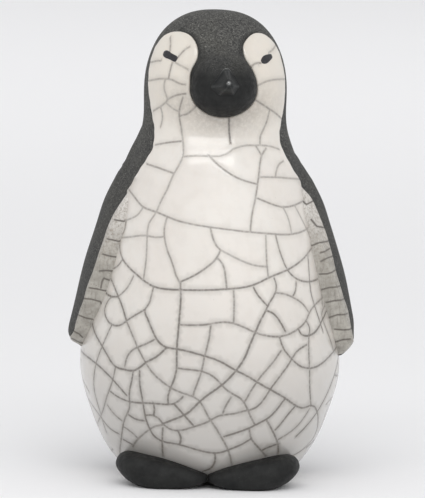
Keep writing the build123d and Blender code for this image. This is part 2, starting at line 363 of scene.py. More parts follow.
def seen_at_depth(pixels, depth):
    """X and z of what is seen at pixels of the photograph, where its y is known."""
    rays = rays_through(pixels)
    places = camera_place + rays * ((depth - camera_place[1]) / rays[:, 1])[:, None]
    return places[:, 0], places[:, 2]


def cast(pixels):
    """Angle and way up of the clay form where it is seen at each pixel of the photograph.

    A pixel just outside the outline gets the place on the outline nearest to it.
    """
    rays = rays_through(pixels)
    depth_before, depth_behind, depth_count, halvings = -60, 6, 133, 24

    def depth_in(ways):
        """Points on the rays, and how far outside the clay form they are."""
        points = camera_place + rays[:, None, :] * ways[..., None]
        wide, front, back = profile_at_height(points[..., 2])
        reach = np.where(points[..., 1] < 0, front, back)
        x_share = points[..., 0] / np.maximum(wide, 0.1)
        return points, x_share**2 + (points[..., 1] / np.maximum(reach, 0.1)) ** 2 - 1

    ways = np.linspace(depth_before, depth_behind, depth_count) / camera_distance + 1
    ways = np.tile(ways, (len(rays), 1))
    value = depth_in(ways)[1]
    hit = (value < 0).any(axis=1)
    first = np.where(hit, np.argmax(value < 0, axis=1), np.argmin(value, axis=1))
    rows = np.arange(len(rays))
    low, high = ways[rows, np.maximum(first - 1, 0)], ways[rows, first]
    for _ in range(halvings):
        middle = (low + high) / 2
        outside = depth_in(middle[:, None])[1][:, 0] > 0
        low = np.where(hit & outside, middle, low)
        high = np.where(hit & ~outside, middle, high)
    x, y, z = depth_in(high[:, None])[0][:, 0].T
    wide, front, back = profile_at_height(z)
    return np.arctan2(x / wide, -y / np.where(y < 0, front, back)), way_at_height(z)


# Outlines on the head, in the frame of the turned face, as height above the neck joint
# and half width in millimetres

muzzle_centre_height = 22.5
muzzle_centre_across = 0.8
muzzle_half_width = 11.4
muzzle_half_depth = 9.5
muzzle_bridge_depth = 13.0
muzzle_centre_reach = face_reach - 2.5
roll_centre_height = 24.0

# Inner edge of the white on each side of the brow: level and distance from the middle
right_brow_edge = [
    (22.5, 10.6), (25.0, 10.6), (27.2, 10.5), (28.9, 10.0), (30.3, 9.3), (32.1, 8.4), (34.1, 8.0),
    (36.0, 8.1), (38.2, 8.9), (39.8, 10.2), (40.7, 12.0), (41.0, 14.2), (41.1, 18.0),
]
left_brow_edge = [
    (22.5, 12.2), (25.0, 11.9), (27.6, 11.0), (29.7, 9.9), (31.4, 8.6), (33.1, 7.6), (35.1, 7.1),
    (37.0, 7.1), (38.0, 7.5), (39.5, 8.7), (40.8, 10.6), (41.3, 12.9), (41.4, 18.0),
]

# Outer edge of the white glaze from the base to the top of each face patch, on the
# figurine's right and on its left: height in millimetres and angle from the front
right_glaze_edge = [
    (0, 107), (35, 99), (45, 93), (84, 92), (90.5, 84), (95.8, 72.6), (101, 63.5), (106, 58.6),
    (111, 53.8), (114.5, 50.6), (118.6, 53.4), (123.5, 59), (129.4, 65), (134.7, 69), (140, 72),
    (144.5, 73), (147.9, 73.5), (150.4, 71), (152.2, 66.5), (153.3, 60), (153.9, 52), (154.1, 42),
]
left_glaze_edge = [
    (0, 107), (35, 99), (45, 93), (86, 93), (93, 91), (97.8, 85), (103, 73.5), (108.5, 65.5),
    (113, 60.8), (117.3, 59.4), (120.3, 62.3), (123.8, 68), (127.7, 72.5), (132.7, 75), (138, 76),
    (144, 76.5), (147.2, 76.5), (149.7, 75), (151.6, 71), (153.1, 65), (153.9, 57), (154.2, 44),
]
dry_foot_height = 1.5
muzzle_gap = 0.15
edge_wander = 0.25
farthest_hidden = 3.0


def face_frame(points):
    """Across and height above the neck joint in the frame of the turned face."""
    across = points[..., 0] * turn_cos + points[..., 1] * turn_sin
    height = points[..., 2] - torso_height - roll_centre_height
    level = height * roll_cos + across * roll_sin + roll_centre_height
    return across * roll_cos - height * roll_sin, level


def brow_edges(level):
    """Distance from the middle of the face to the brow's right and left edges at a level."""
    found = []
    for edge in (right_brow_edge, left_brow_edge):
        knots = length_along(edge)
        curve = smooth_through(knots, edge, np.linspace(0, knots[-1], 400))
        found.append(np.interp(level, np.maximum.accumulate(curve[:, 0]), curve[:, 1]))
    return found


def outside_muzzle(across, level):
    """Rough distance outside the outline of the muzzle and brow, below zero within it."""
    right, left = brow_edges(level)
    above = np.where(across < 0, -across - right, across - left)
    sideways = (across - muzzle_centre_across) / muzzle_half_width
    ratio = np.hypot(sideways, (level - muzzle_centre_height) / muzzle_half_depth)
    below = (ratio - 1) * (muzzle_half_width + muzzle_half_depth) / 2
    return np.where(level > muzzle_centre_height, above, below)


def glaze_edge_angle(points):
    """Angle from the front of the white glaze's outer edge at each point's height."""
    right, left = (
        np.interp(points[..., 2], edge[:, 0], np.radians(edge[:, 1]))
        for edge in (np.array(right_glaze_edge, float), np.array(left_glaze_edge, float))
    )
    return np.where(points[..., 0] < 0, right, left)


def outside_glaze(angle, way):
    """Rough distance outside the white glaze, below zero where it lies on the clay."""
    points = bare_surface(angle, way)
    x, z = points[..., 0], points[..., 2]
    wander = edge_wander * (np.sin(z / 2.3 + x / 5) * np.sin(z / 0.9 + 2) + 0.6 * np.sin(z / 4.1 + 1))
    turned = np.abs(np.arctan2(np.sin(angle), np.cos(angle)))
    mm_per_radian = 20 + 0.25 * np.abs(x)
    whole = (turned - glaze_edge_angle(points)) * mm_per_radian + wander
    whole = smooth_max(whole, muzzle_gap - outside_muzzle(*face_frame(points)), 1.0)
    whole = np.maximum(whole, np.minimum(flipper_cover(points), farthest_hidden))
    return np.maximum(whole, dry_foot_height - z)


# Flippers: from tip to shoulder, height as a share of the flipper's length, how far the
# outer end of the front edge and the widest line stand off the torso's side as shares of
# the flipper's thickness, and its front and rear as shares of its chord
flipper_length = torso_height - flipper_low[2]
flipper_chord = (flipper_high[1] - flipper_low[1]) / 0.99
flipper_thickness = 7.4
flipper_section_shares = [
    (0.000, 0.47, 0.57, -0.110, 0.110),
    (0.043, 0.66, 0.78, -0.200, 0.230),
    (0.141, 0.62, 0.92, -0.300, 0.390),
    (0.237, 0.58, 0.95, -0.350, 0.490),
    (0.345, 0.51, 0.98, -0.380, 0.550),
    (0.482, 0.29, 0.87, -0.400, 0.590),
    (0.640, 0.00, 0.68, -0.390, 0.570),
    (0.734, -0.22, 0.59, -0.370, 0.530),
    (0.870, -0.58, 0.29, -0.280, 0.430),
    (1.000, -0.86, -0.05, -0.190, 0.290),
    (1.060, -1.10, -0.55, -0.150, 0.240),
    (1.140, -1.50, -1.10, -0.100, 0.180),
]
flipper_top_share = flipper_section_shares[-1][0]
left_outward, right_inward = 0.9, 0.7
left_back, right_forward = 3.4, 1.8
flipper_overlap, tip_clearance, shoulder_clearance = 1.5, 2.0, 6


def flipper_rows(share, side):
    """Edge stand-off, widest stand-off, front y and rear y of a flipper in millimetres.

    The left one lies further out and back than the right one, as in the photograph.
    """
    table = np.array(flipper_section_shares)
    rows = smooth_through(table[:, 0], table[:, 1:], np.clip(share, 0, flipper_top_share))
    rows = rows * np.array([flipper_thickness, flipper_thickness, flipper_chord, flipper_chord])
    # Both sides' own offsets grow above the tip and fade out below the shoulder
    lower = clamp(share / 0.25)
    upper = clamp((1 - share) / 0.4)
    left = left_outward * upper * (0.35 + 0.65 * lower)
    right = -right_inward * clamp((0.6 - share) / 0.5)
    rows[..., :2] += np.where(side > 0, left, right)[..., None]
    back = np.where(side > 0, left_back, -right_forward)
    rows[..., 2] += back * lower * (3 - 2 * lower) * lower * upper
    return rows


def flipper_cover(points):
    """Above zero where a flipper hides the torso's side, by how far inside its outline."""
    y, above_tip = points[..., 1], points[..., 2] - flipper_low[2]
    rows = flipper_rows(clamp(above_tip / flipper_length), points[..., 0])
    inside = np.minimum(y - rows[..., 2], rows[..., 3] - y) - flipper_overlap
    inside = np.minimum(inside, above_tip - tip_clearance)
    return np.minimum(inside, torso_height - shoulder_clearance - points[..., 2])


# White crackle glaze. Its crack lines were read off enlarged views of the
# photograph. A view has the pixel of its corner and the size of one of its steps.

head_view = {"corner": (130, 0), "step": 0.1148}
chest_view = {"corner": (50, 130), "step": 0.2073}
belly_view = {"corner": (50, 320), "step": 0.2073}
head_cracks = [
    [(355, 330), (357, 380), (352, 440)],
    [(520, 412), (485, 432), (455, 460), (425, 495), (405, 520)],
    [(398, 545), (450, 575), (510, 607)],
    [(370, 555), (352, 620), (340, 682)],
    [(175, 702), (240, 690), (310, 685), (380, 700), (440, 730), (480, 736)],
    [(310, 688), (300, 760), (318, 830), (328, 868), (312, 892), (260, 932), (205, 967)],
    [(328, 868), (390, 835), (450, 820), (492, 815)],
    [(320, 895), (370, 940), (430, 972)],
    [(462, 850), (445, 910), (432, 972), (435, 1040), (448, 1110), (452, 1133)],
    [(435, 1006), (500, 990), (545, 955), (578, 922)],
    [(268, 932), (285, 1000), (268, 1105)],
    [(205, 540), (240, 533), (278, 530)],
    [(862, 1030), (862, 1130), (878, 1255)],
    [(1262, 400), (1240, 432), (1200, 462)],
    [(1135, 550), (1080, 560), (1048, 592)],
    [(1330, 690), (1250, 695), (1170, 715), (1105, 747)],
    [(1092, 872), (1160, 915), (1220, 955), (1270, 990), (1315, 1032)],
    [(1212, 958), (1190, 1050), (1152, 1140), (1130, 1205), (1130, 1265)],
]
chest_cracks = [
    [(635, 0), (640, 35), (640, 130), (600, 210), (565, 290), (530, 360), (515, 395), (480, 450),
     (470, 520), (465, 620), (452, 720)],
    [(510, 72), (570, 62), (635, 55)],
    [(880, 95), (920, 80), (985, 75), (1060, 80), (1105, 95)],
    [(990, 75), (1005, 100), (1020, 125)],
    [(1040, 90), (1020, 125), (1010, 180), (1005, 230), (1000, 265), (990, 330), (975, 400),
     (965, 490)],
    [(640, 130), (720, 125), (850, 115), (880, 95)],
    [(765, 122), (800, 160), (850, 200), (900, 230), (1000, 262)],
    [(1125, 150), (1095, 180), (1085, 225)],
    [(1008, 228), (1060, 228), (1130, 232), (1188, 236)],
    [(1000, 330), (1060, 355), (1120, 372), (1170, 365), (1215, 345)],
    [(1120, 372), (1140, 410), (1155, 460), (1163, 498)],
    [(385, 290), (415, 330), (450, 370), (510, 395), (570, 420), (640, 445), (720, 462), (870, 483),
     (960, 493), (1050, 500), (1130, 505), (1190, 498), (1240, 475), (1262, 455)],
    [(470, 165), (530, 185), (598, 210)],
    [(450, 375), (430, 405), (400, 425), (370, 435), (320, 430)],
    [(370, 435), (360, 490), (345, 520), (340, 560), (352, 620), (380, 660), (440, 715), (490, 750),
     (560, 768), (650, 772), (750, 773), (850, 768), (930, 760), (1000, 740), (1050, 715), (1110, 690),
     (1170, 660), (1210, 630), (1245, 590), (1262, 565), (1335, 545)],
    [(285, 515), (340, 520), (400, 515), (460, 510), (520, 518), (550, 515)],
    [(565, 425), (552, 480), (555, 530), (570, 590), (590, 640), (605, 690), (625, 735)],
    [(775, 480), (785, 520), (800, 555), (822, 580)],
    [(822, 580), (860, 600), (920, 630), (980, 652), (1042, 660)],
    [(822, 580), (805, 615), (760, 660), (700, 700), (625, 735)],
    [(808, 620), (830, 645), (845, 700), (852, 765)],
    [(1040, 510), (1042, 570), (1045, 640), (1052, 710)],
    [(1088, 512), (1100, 560), (1120, 620), (1145, 675), (1170, 705), (1210, 728), (1260, 730),
     (1300, 710)],
    [(1235, 480), (1255, 540), (1258, 570), (1295, 655), (1300, 700)],
    [(352, 625), (335, 650), (300, 672)],
    [(295, 715), (310, 750), (330, 800), (350, 850), (370, 916)],
    [(405, 705), (375, 760), (335, 800)],
    [(250, 740), (290, 800), (330, 805)],
    [(330, 808), (290, 815), (268, 860), (275, 910), (300, 938), (345, 940), (380, 915), (420, 890),
     (462, 865)],
    [(500, 755), (490, 800), (475, 845), (462, 865), (475, 914)],
    [(630, 740), (632, 800), (628, 870), (622, 940)],
    [(885, 770), (888, 850), (885, 930)],
    [(980, 760), (1000, 795), (1030, 830), (1048, 850)],
    [(1080, 715), (1090, 760), (1085, 785), (1060, 830), (1040, 870), (1014, 920)],
    [(622, 940), (700, 942), (760, 938), (820, 928), (880, 932), (930, 950), (985, 975), (1040, 992),
     (1100, 997), (1150, 985), (1200, 955), (1235, 915), (1245, 890), (1290, 830), (1330, 780)],
    [(1040, 870), (1080, 890), (1110, 930), (1135, 975)],
    [(1090, 785), (1140, 795), (1190, 820), (1225, 850), (1245, 880)],
    [(1185, 735), (1180, 780), (1170, 800)],
    [(1250, 735), (1255, 780), (1268, 830)],
    [(1325, 845), (1310, 900), (1325, 945)],
    [(1195, 960), (1210, 985), (1245, 992), (1285, 965), (1310, 920)],
    [(1235, 925), (1250, 960), (1245, 990)],
]
belly_cracks = [
    [(300, 25), (275, 80), (250, 140), (225, 210), (215, 280), (218, 340), (235, 410)],
    [(205, 0), (215, 50), (245, 110), (285, 180), (320, 225), (360, 238), (410, 242), (440, 225),
     (465, 205), (510, 180), (565, 132)],
    [(370, 0), (395, 60), (425, 130), (455, 190), (490, 245), (540, 295), (590, 330), (650, 355),
     (715, 385), (740, 420), (770, 475), (800, 520), (830, 570), (860, 630), (875, 690)],
    [(475, 0), (500, 60), (530, 110), (565, 132), (610, 140), (680, 155), (750, 175), (820, 200),
     (890, 240), (950, 270), (1000, 300), (1070, 340), (1130, 375), (1180, 410), (1220, 422),
     (1255, 412), (1285, 440), (1290, 490), (1270, 560), (1230, 610), (1190, 640)],
    [(622, 22), (616, 90), (612, 160), (610, 240), (590, 310), (572, 360), (570, 400)],
    [(775, 30), (765, 100), (745, 180), (730, 250), (705, 320), (690, 365)],
    [(1015, 0), (985, 70), (960, 130), (935, 190), (900, 240), (860, 285), (820, 320), (770, 355),
     (715, 400), (680, 435), (640, 462), (590, 482), (545, 500)],
    [(505, 95), (455, 120), (410, 140), (380, 170), (365, 215)],
    [(405, 245), (395, 300), (385, 360), (385, 420), (365, 470), (350, 540), (340, 640)],
    [(435, 245), (435, 300), (445, 370), (455, 430), (465, 480), (480, 520), (500, 555), (545, 585),
     (600, 595), (680, 615), (760, 635), (820, 637), (870, 620), (930, 595), (970, 570)],
    [(320, 225), (305, 290), (280, 360), (260, 430), (232, 500)],
    [(160, 155), (225, 210), (290, 270), (340, 325), (375, 365)],
    [(295, 345), (340, 375), (400, 395), (470, 400), (540, 405), (600, 402), (640, 372)],
    [(615, 232), (680, 240), (740, 250), (790, 275), (830, 315), (870, 350), (920, 380), (945, 415),
     (965, 460), (985, 500)],
    [(600, 405), (640, 450), (690, 505)],
    [(280, 410), (310, 450), (350, 485)],
    [(250, 470), (290, 520), (335, 548)],
    [(380, 455), (410, 475), (455, 485)],
    [(360, 515), (400, 545), (425, 570)],
    [(355, 575), (400, 600)],
    [(545, 500), (580, 525), (620, 532), (690, 515), (760, 490), (820, 460), (880, 452), (940, 438),
     (985, 425), (1020, 395), (1050, 350), (1100, 280), (1150, 210), (1190, 150), (1235, 120)],
    [(545, 520), (545, 650)],
    [(620, 535), (632, 575), (625, 600)],
    [(400, 610), (430, 570), (470, 535), (510, 512), (545, 505)],
    [(500, 400), (505, 440), (500, 460)],
    [(460, 460), (500, 460), (530, 480), (545, 500)],
    [(830, 460), (845, 420), (875, 370)],
    [(840, 560), (890, 545), (960, 520), (1010, 495), (1060, 465), (1100, 420), (1130, 380)],
    [(960, 525), (970, 570), (1000, 610), (1040, 655)],
    [(1045, 485), (1075, 540), (1095, 590), (1100, 640)],
    [(1085, 530), (1120, 490), (1150, 450), (1180, 415)],
    [(1100, 575), (1150, 545), (1200, 500), (1235, 450), (1250, 425)],
    [(1025, 625), (1060, 610), (1100, 595)],
    [(1105, 80), (1120, 130), (1160, 185), (1200, 220), (1250, 232), (1300, 215), (1345, 175)],
    [(1245, 70), (1245, 150), (1248, 230), (1250, 320), (1255, 410)],
    [(1385, 190), (1370, 260), (1340, 340), (1290, 435)],
    [(1110, 150), (1060, 220), (1010, 280), (970, 340), (935, 400)],
    [(795, 645), (795, 680), (770, 715), (740, 725)],
]
crack_views = ((head_view, head_cracks), (chest_view, chest_cracks), (belly_view, belly_cracks))

# Crack lines on the flanks, as angles from the front in degrees and heights
flank_cracks = [
    ([-74, -84, -96], [30, 33, 30]),
    ([-76, -88, -99], [18, 16, 19]),
    ([-82, -84, -81, -83], [40, 33, 24, 14]),
    ([-92, -90, -93], [36, 26, 16]),
    ([-70, -80, -92, -104], [10, 9, 11, 9]),
    ([-88, -95], [24, 23]),
    ([72, 85, 97], [27, 29, 27]),
    ([75, 88, 100], [37, 36, 39]),
    ([80, 83, 79, 82], [41, 32, 22, 12]),
    ([91, 93, 90], [38, 27, 13]),
    ([70, 84, 96, 105], [12, 14, 12, 13]),
    ([82, 92], [20, 19]),
]

crack_half_width = 0.58
belly_crack_half_width = 0.66
crack_depth = 0.06
crack_rows = (0.0, 0.22, -0.22, 0.5, -0.5)
rim_rows = (0.22, 0.5, 0.9)
neck_crack_number = 12
line_spacing = 0.3
layout_reach = 90
belly_top, belly_fade = 84, 26
sunk_rim, glaze_root = -0.15, -0.3
halo_reach = 2.2


def flatten(direction, steps):
    """Flat layout steps that make up a direction on the surface."""
    across, along = steps
    pairs = (across, across), (across, along), (along, along), (direction, across), (direction, along)
    aa, ab, bb, da, db = ((one * other).sum(axis=-1) for one, other in pairs)
    scale = np.maximum(aa * bb - ab * ab, 1e-9)
    return np.stack([(da * bb - db * ab) / scale, (db * aa - da * ab) / scale], axis=-1)


def steps_per_mm(angle, way):
    """Steps on the surface for one millimetre across and one up the flat layout."""
    return [step / (2 * half_step) for step in surface_steps(angle, way)]


def even_line(angle, way):
    """The smooth line through some places, as evenly spaced points of the flat layout."""
    flat = np.stack([angle * domain_scale, way], axis=-1)
    knots = running(np.maximum(np.hypot(*np.diff(flat, axis=0).T), 0.05))
    line = smooth_through(knots, flat, np.linspace(0, knots[-1], max(int(knots[-1] / 0.2), 4)))
    length = length_along(bare_surface(*angle_way(line)))
    return rows_at(np.linspace(0, length[-1], max(int(length[-1] / line_spacing), 2)), length, line)


def traced(view, chain):
    """A crack line as points of the flat layout. Lines that end far round the side run on."""
    far_round, more_turn, more_way = math.radians(60), 16, 10
    angle, way = cast(pixels_of(view, chain))
    longer_angle, longer_way = list(angle), list(way)
    for here, before, place in ((-1, -2, len(angle)), (0, 1, 0)):
        if abs(angle[here]) > far_round:
            run = np.array([angle[here] - angle[before], way[here] - way[before]])
            run /= max(np.hypot(run[0] * domain_scale, run[1]), 0.1)
            longer_angle.insert(place, angle[here] + run[0] * more_turn)
            longer_way.insert(place, way[here] + run[1] * more_way)
    return even_line(np.array(longer_angle), np.array(longer_way))


def beside(line, offset):
    """The line moved sideways on the surface."""
    places = angle_way(line)
    points, normals = surface_frame(*places)
    side = unit(np.cross(normals, np.gradient(points, axis=0)))
    return line + flatten(side * offset, steps_per_mm(*places))


def glaze_rim():
    """Places along the edge of the glaze, with rows just inside it."""
    spacing, step = 0.5, 0.1
    across = np.arange(-layout_reach, layout_reach, spacing)
    flat = np.stack(np.meshgrid(across, np.arange(1, profile_length - 3, spacing)), axis=-1)
    value = outside_glaze(*angle_way(flat))
    found = []
    for start, end in ((np.s_[:-1], np.s_[1:]), (np.s_[:, :-1], np.s_[:, 1:])):
        a, b = value[start], value[end]
        crossing = (a < 0) != (b < 0)
        share = (a / np.where(a == b, 1, a - b))[crossing][:, None]
        found.append(flat[start][crossing] * (1 - share) + flat[end][crossing] * share)
    edge = np.concatenate(found)
    angle, way = angle_way(edge)
    turn = step / domain_scale
    slopes = (
        outside_glaze(angle + turn, way) - outside_glaze(angle - turn, way),
        outside_glaze(angle, way + step) - outside_glaze(angle, way - step),
    )
    steps = steps_per_mm(angle, way)
    parts = [step * (slope / (step**2).sum(axis=-1))[:, None] for step, slope in zip(steps, slopes)]
    outward = unit(parts[0] + parts[1])
    return [edge] + [edge + flatten(-outward * inset, steps) for inset in rim_rows]


def nearest(others, points):
    """Distance from each point to the nearest of the others, and which one that is."""
    tree = kdtree.KDTree(len(others))
    for index, other in enumerate(others):
        tree.insert(other, index)
    tree.balance()
    found = [tree.find(point) for point in points]
    return np.array([hit[2] for hit in found]), np.array([hit[1] for hit in found])


def thin_out(points, spacing):
    """Keeps the first of the points that share a small square of the flat layout."""
    row_stride = 1000003
    for shift in (0.0, 0.5):
        cells = np.floor(points / spacing + shift).astype(np.int64)
        _, first = np.unique(cells[:, 0] * row_stride + cells[:, 1], return_index=True)
        points = points[np.sort(first)]
    return points


def glaze_lift(points, to_rim):
    """Height of the glaze's face above the clay: round at its edge and slightly wavy."""
    x, y, z = points.T
    wave = np.sin(x / 3.1 + z / 4.7) * np.sin(z / 3.7 - x / 6.3 + y / 5)
    return (glaze_thickness - 0.03 * (1 + wave)) * round_edge(to_rim)


def painted_shade_marks(points, angle, to_rim):
    """How much painted shade darkens the glaze: beside the flippers where they meet the belly, round the
    muzzle, and on the throat under the muzzle.
    """
    flipper_foot, flipper_head, beside_front = 46, 104, math.radians(45)
    throat_level, throat_fade = 16, 12
    flipper_reach, muzzle_reach, throat_reach = 4.5, 3.5, 10
    z = points[:, 2]
    across, level = face_frame(points)
    to_muzzle = outside_muzzle(across, level)
    by_flipper = (z < flipper_head) & (z > flipper_foot) & (np.abs(angle) > beside_front)
    throat = clamp((z - torso_height) / 4) * clamp(1 - (level - throat_level) / throat_fade)
    return np.max([
        np.where(by_flipper, clamp(1 - to_rim / flipper_reach) ** 1.5, 0),
        0.3 * clamp(1 - to_muzzle / muzzle_reach),
        0.75 * clamp(1.2 - to_muzzle / throat_reach) * throat,
    ], axis=0)


def glaze_layout(rim, lines):
    """Places and triangles of the glaze in the flat layout, close together at rim and cracks."""
    close_spacing, pitch, row_share, largest = 0.17, 1.6, 0.866, 3
    crack_inset, field_inset, field_gap = 0.12, 0.6, 0.55
    cracks = np.concatenate([beside(line[::2], offset) for offset in crack_rows for line in lines])
    cracks = cracks[outside_glaze(*angle_way(cracks)) < -crack_inset]
    close_points = thin_out(np.concatenate([*rim, cracks]), close_spacing)
    columns, rows = np.meshgrid(
        np.arange(-layout_reach, layout_reach, pitch), np.arange(1, profile_length, pitch * row_share)
    )
    columns[1::2] += pitch / 2
    field = np.stack([columns.ravel(), rows.ravel()], axis=-1)
    field = field[outside_glaze(*angle_way(field)) < -field_inset]
    to_close, _ = nearest(*(np.pad(points, ((0, 0), (0, 1))) for points in (close_points, field)))
    flat = np.concatenate([close_points, field[to_close > field_gap]])
    # The layout is cut into triangles, and those outside the glaze are dropped
    cut = delaunay_2d_cdt([tuple(point) for point in flat], [], [], 0, 1e-5)
    flat = np.array([tuple(point) for point in cut[0]])
    faces = np.array([face for face in cut[2] if len(face) == 3])
    centre = flat[faces].mean(axis=1)
    size = np.linalg.norm(flat[faces] - centre[:, None], axis=-1).max(axis=1)
    keep = (outside_glaze(*angle_way(centre)) < 0) & (size < largest)
    used, faces = np.unique(faces[keep], return_inverse=True)
    return flat[used], faces.reshape(-1, 3)


def add_front_glaze(material):
    """One closed coat with a round edge, and shallow stained cracks set into its face."""
    lines = [traced(view, chain) for view, chains in crack_views for chain in chains]
    lines += [even_line(np.radians(angles), way_at_height(heights)) for angles, heights in flank_cracks]
    # Each line takes up soot in its own measure, the one under the muzzle the most
    soot = 0.74 + 0.12 * np.sin(2.4 * np.arange(len(lines)))
    soot[neck_crack_number] = 1.25
    soot = np.repeat(soot, [len(line) for line in lines])
    middle = np.concatenate(lines)
    near = outside_glaze(*angle_way(middle)) < 1
    soot, middle = soot[near], middle[near]
    rim = glaze_rim()
    flat, faces = glaze_layout(rim, lines)
    places = angle_way(flat)
    base, normals = surface_frame(*places)
    to_rim, _ = nearest(bare_surface(*angle_way(rim[0])), base)
    to_crack, which = nearest(bare_surface(*angle_way(middle)), base)
    on_belly = clamp((belly_top - base[:, 2]) / belly_fade)
    half_width = crack_half_width + (belly_crack_half_width - crack_half_width) * on_belly
    stain = clamp(1 - (to_crack / half_width) ** 2) ** 1.5
    lift = glaze_lift(base, to_rim) - crack_depth * stain
    marks = {
        "stain": stain * soot[which] * (1 + 0.5 * on_belly),
        "halo": clamp(1 - to_crack / halo_reach) ** 2,
        # Painted shade beside the flippers, round the muzzle and on the throat
        "painted_shade": painted_shade_marks(base, places[0], to_rim),
    }
    edges = np.sort(faces[:, [0, 1, 1, 2, 2, 0]].reshape(-1, 2), axis=1)
    pairs, times = np.unique(edges, axis=0, return_counts=True)
    on_border = np.zeros(len(flat), bool)
    on_border[pairs[times == 1]] = True
    lift[on_border] = sunk_rim
    top = lifted(base, normals, lift)
    inner = np.flatnonzero(~on_border)
    mate = np.arange(len(flat))
    mate[inner] = len(flat) + np.arange(len(inner))
    layers = np.concatenate([faces, mate[faces][:, ::-1]])
    a, b, c = top[faces.T]
    if (np.cross(b - a, c - a) * normals[faces[:, 0]]).sum() < 0:
        layers = layers[:, ::-1]
    points = np.concatenate([top, lifted(base, normals, glaze_root)[inner]])
    piece = add_mesh("front_glaze_coat", points, layers.tolist())
    for name, values in marks.items():
        set_attribute(piece, name, np.concatenate([values, values[inner]]))
    dress(piece, material, "white_crackle_glaze", "front_glaze")


# Materials

class Shader:
    """A node tree under construction, with short calls for the nodes used here."""

    def __init__(self, name, base, roughness):
        self.material = bpy.data.materials.new(name)
        self.material.use_nodes = True
        self.tree = self.material.node_tree
        self.surface = self.tree.nodes["Principled BSDF"]
        self.set(Base_Color=base, Roughness=roughness)
        self.place = self.add("TexCoord").outputs["Object"]

    def feed(self, socket, value):
        """Links a socket to another one, or gives it a value."""
        if isinstance(value, bpy.types.NodeSocket):
            self.tree.links.new(value, socket)
        else:
            socket.default_value = (*value, 1) if socket.type == "RGBA" else value

    def add(self, kind, **inputs):
        node = self.tree.nodes.new("ShaderNode" + kind)
        for name, value in inputs.items():
            self.feed(node.inputs[name.replace("_", " ")], value)
        return node

    def set(self, **inputs):
        """Sets inputs of the surface."""
        for name, value in inputs.items():
            self.feed(self.surface.inputs[name.replace("_", " ")], value)

    def noise(self, size, detail=3.0, roughness=0.5, place=None):
        """Noise whose features are about that many millimetres across."""
        scale, place = 1 / (size * METRE), place or self.place
        node = self.add("TexNoise", Scale=scale, Detail=detail, Roughness=roughness, Vector=place)
        return node.outputs["Fac"]

    def streaks(self, size, stretch):
        """Noise drawn out upwards."""
        drawn = self.add("Mapping", Scale=(1, 1, 1 / stretch), Vector=self.place)
        return self.noise(size, 3.0, 0.6, drawn.outputs["Vector"])

    def cells(self, size):
        """Distance to the middle of cells about that many millimetres across."""
        return self.add("TexVoronoi", Scale=1 / (size * METRE), Vector=self.place).outputs["Distance"]

    def band(self, value, low, high, start=0.0, end=1.0):
        """Maps low..high of a value smoothly to start..end."""
        node = self.add("MapRange", Value=value, From_Min=low, From_Max=high, To_Min=start, To_Max=end)
        node.interpolation_type = "SMOOTHSTEP"
        return node.outputs["Result"]

    def multiply(self, a, b):
        node = self.add("Math")
        node.operation = "MULTIPLY"
        self.feed(node.inputs[0], a)
        self.feed(node.inputs[1], b)
        return node.outputs[0]

    def specks(self, size, low, high, patch, start, end):
        """Small dots in cells of one size, gathered in patches of another."""
        dots = self.band(self.cells(size), low, high, 1.0, 0.0)
        return self.multiply(dots, self.band(self.noise(patch, 2.0), start, end))

    def layered(self, ground, *covers):
        """A ground colour, and each cover's colour over it where its mask is 1."""
        for mask, colour in covers:
            node = self.add("Mix")
            node.data_type = "RGBA"
            self.feed(node.inputs["Factor"], mask)
            sockets = [socket for socket in node.inputs if socket.type == "RGBA"]
            self.feed(sockets[0], ground)
            self.feed(sockets[1], colour)
            ground = next(socket for socket in node.outputs if socket.type == "RGBA")
        return ground

    def attribute(self, name):
        node = self.add("Attribute")
        node.attribute_name = name
        return node.outputs["Fac"]

    def by_height(self, low, high, start=0.0, end=1.0):
        """Maps low..high in metres above the ground smoothly to start..end."""
        return self.band(self.add("SeparateXYZ", Vector=self.place).outputs["Z"], low, high, start, end)

    def bump(self, value, depth, strength=1.0):
        """Roughens the surface by a value times a depth in millimetres."""
        node = self.add("Bump", Strength=strength, Distance=depth * METRE, Height=value)
        for link in self.surface.inputs["Normal"].links:
            self.feed(node.inputs["Normal"], link.from_socket)
        self.set(Normal=node.outputs["Normal"])


def bare_clay_colour(shader):
    """Smoked stoneware: near black, with paler grog grains and a faint olive bloom."""
    return shader.layered(
        (0.042, 0.042, 0.041),
        (shader.band(shader.noise(14.0), 0.35, 0.7), (0.062, 0.061, 0.053)),
        (shader.band(shader.noise(0.62, 4.0, 0.75), 0.42, 0.66), (0.135, 0.133, 0.124)),
        (shader.band(shader.noise(0.7, 3.0, 0.7), 0.34, 0.46, 1.0, 0.0), (0.018, 0.018, 0.018)),
        # Painted shade: the clay darker below the head, so that the crown looks lit from above
        (shader.by_height(0.100, 0.130, 0.32, 0.0), (0.018, 0.018, 0.018)),
        (shader.specks(0.72, 0.12, 0.26, 2.2, 0.46, 0.60), (0.26, 0.255, 0.238)),
    )


def bare_clay_material():
    shader = Shader("smoked_clay", (0.05, 0.05, 0.047), 0.75)
    shader.set(Base_Color=bare_clay_colour(shader), Specular_IOR_Level=0.3)
    shader.bump(shader.noise(0.55, 4.0, 0.65), 0.16)
    shader.bump(shader.cells(0.75), 0.06)
    return shader.material


def smooth_clay_material():
    """The same clay rubbed smooth before it was fired, darker, and bare again at the crown."""
    shader = Shader("burnished_clay", (0.015, 0.015, 0.015), 0.55)
    colour = shader.layered(
        (0.0095, 0.0098, 0.0098),
        (shader.band(shader.noise(6.0, 4.0, 0.6), 0.35, 0.68), (0.018, 0.0185, 0.018)),
        (shader.specks(0.6, 0.08, 0.2, 3.0, 0.54, 0.66), (0.06, 0.06, 0.057)),
        # Bare clay where the stain mark is high: partly the rough crown, partly painted light from above and
        # painted sheen on the brow
        (shader.attribute("stain"), bare_clay_colour(shader)),
    )
    roughness = shader.band(shader.noise(1.6), 0.3, 0.7, 0.48, 0.68)
    shader.set(Base_Color=colour, Specular_IOR_Level=0.22, Roughness=roughness)
    shader.bump(shader.noise(0.6, 3.0, 0.6), 0.10)
    return shader.material


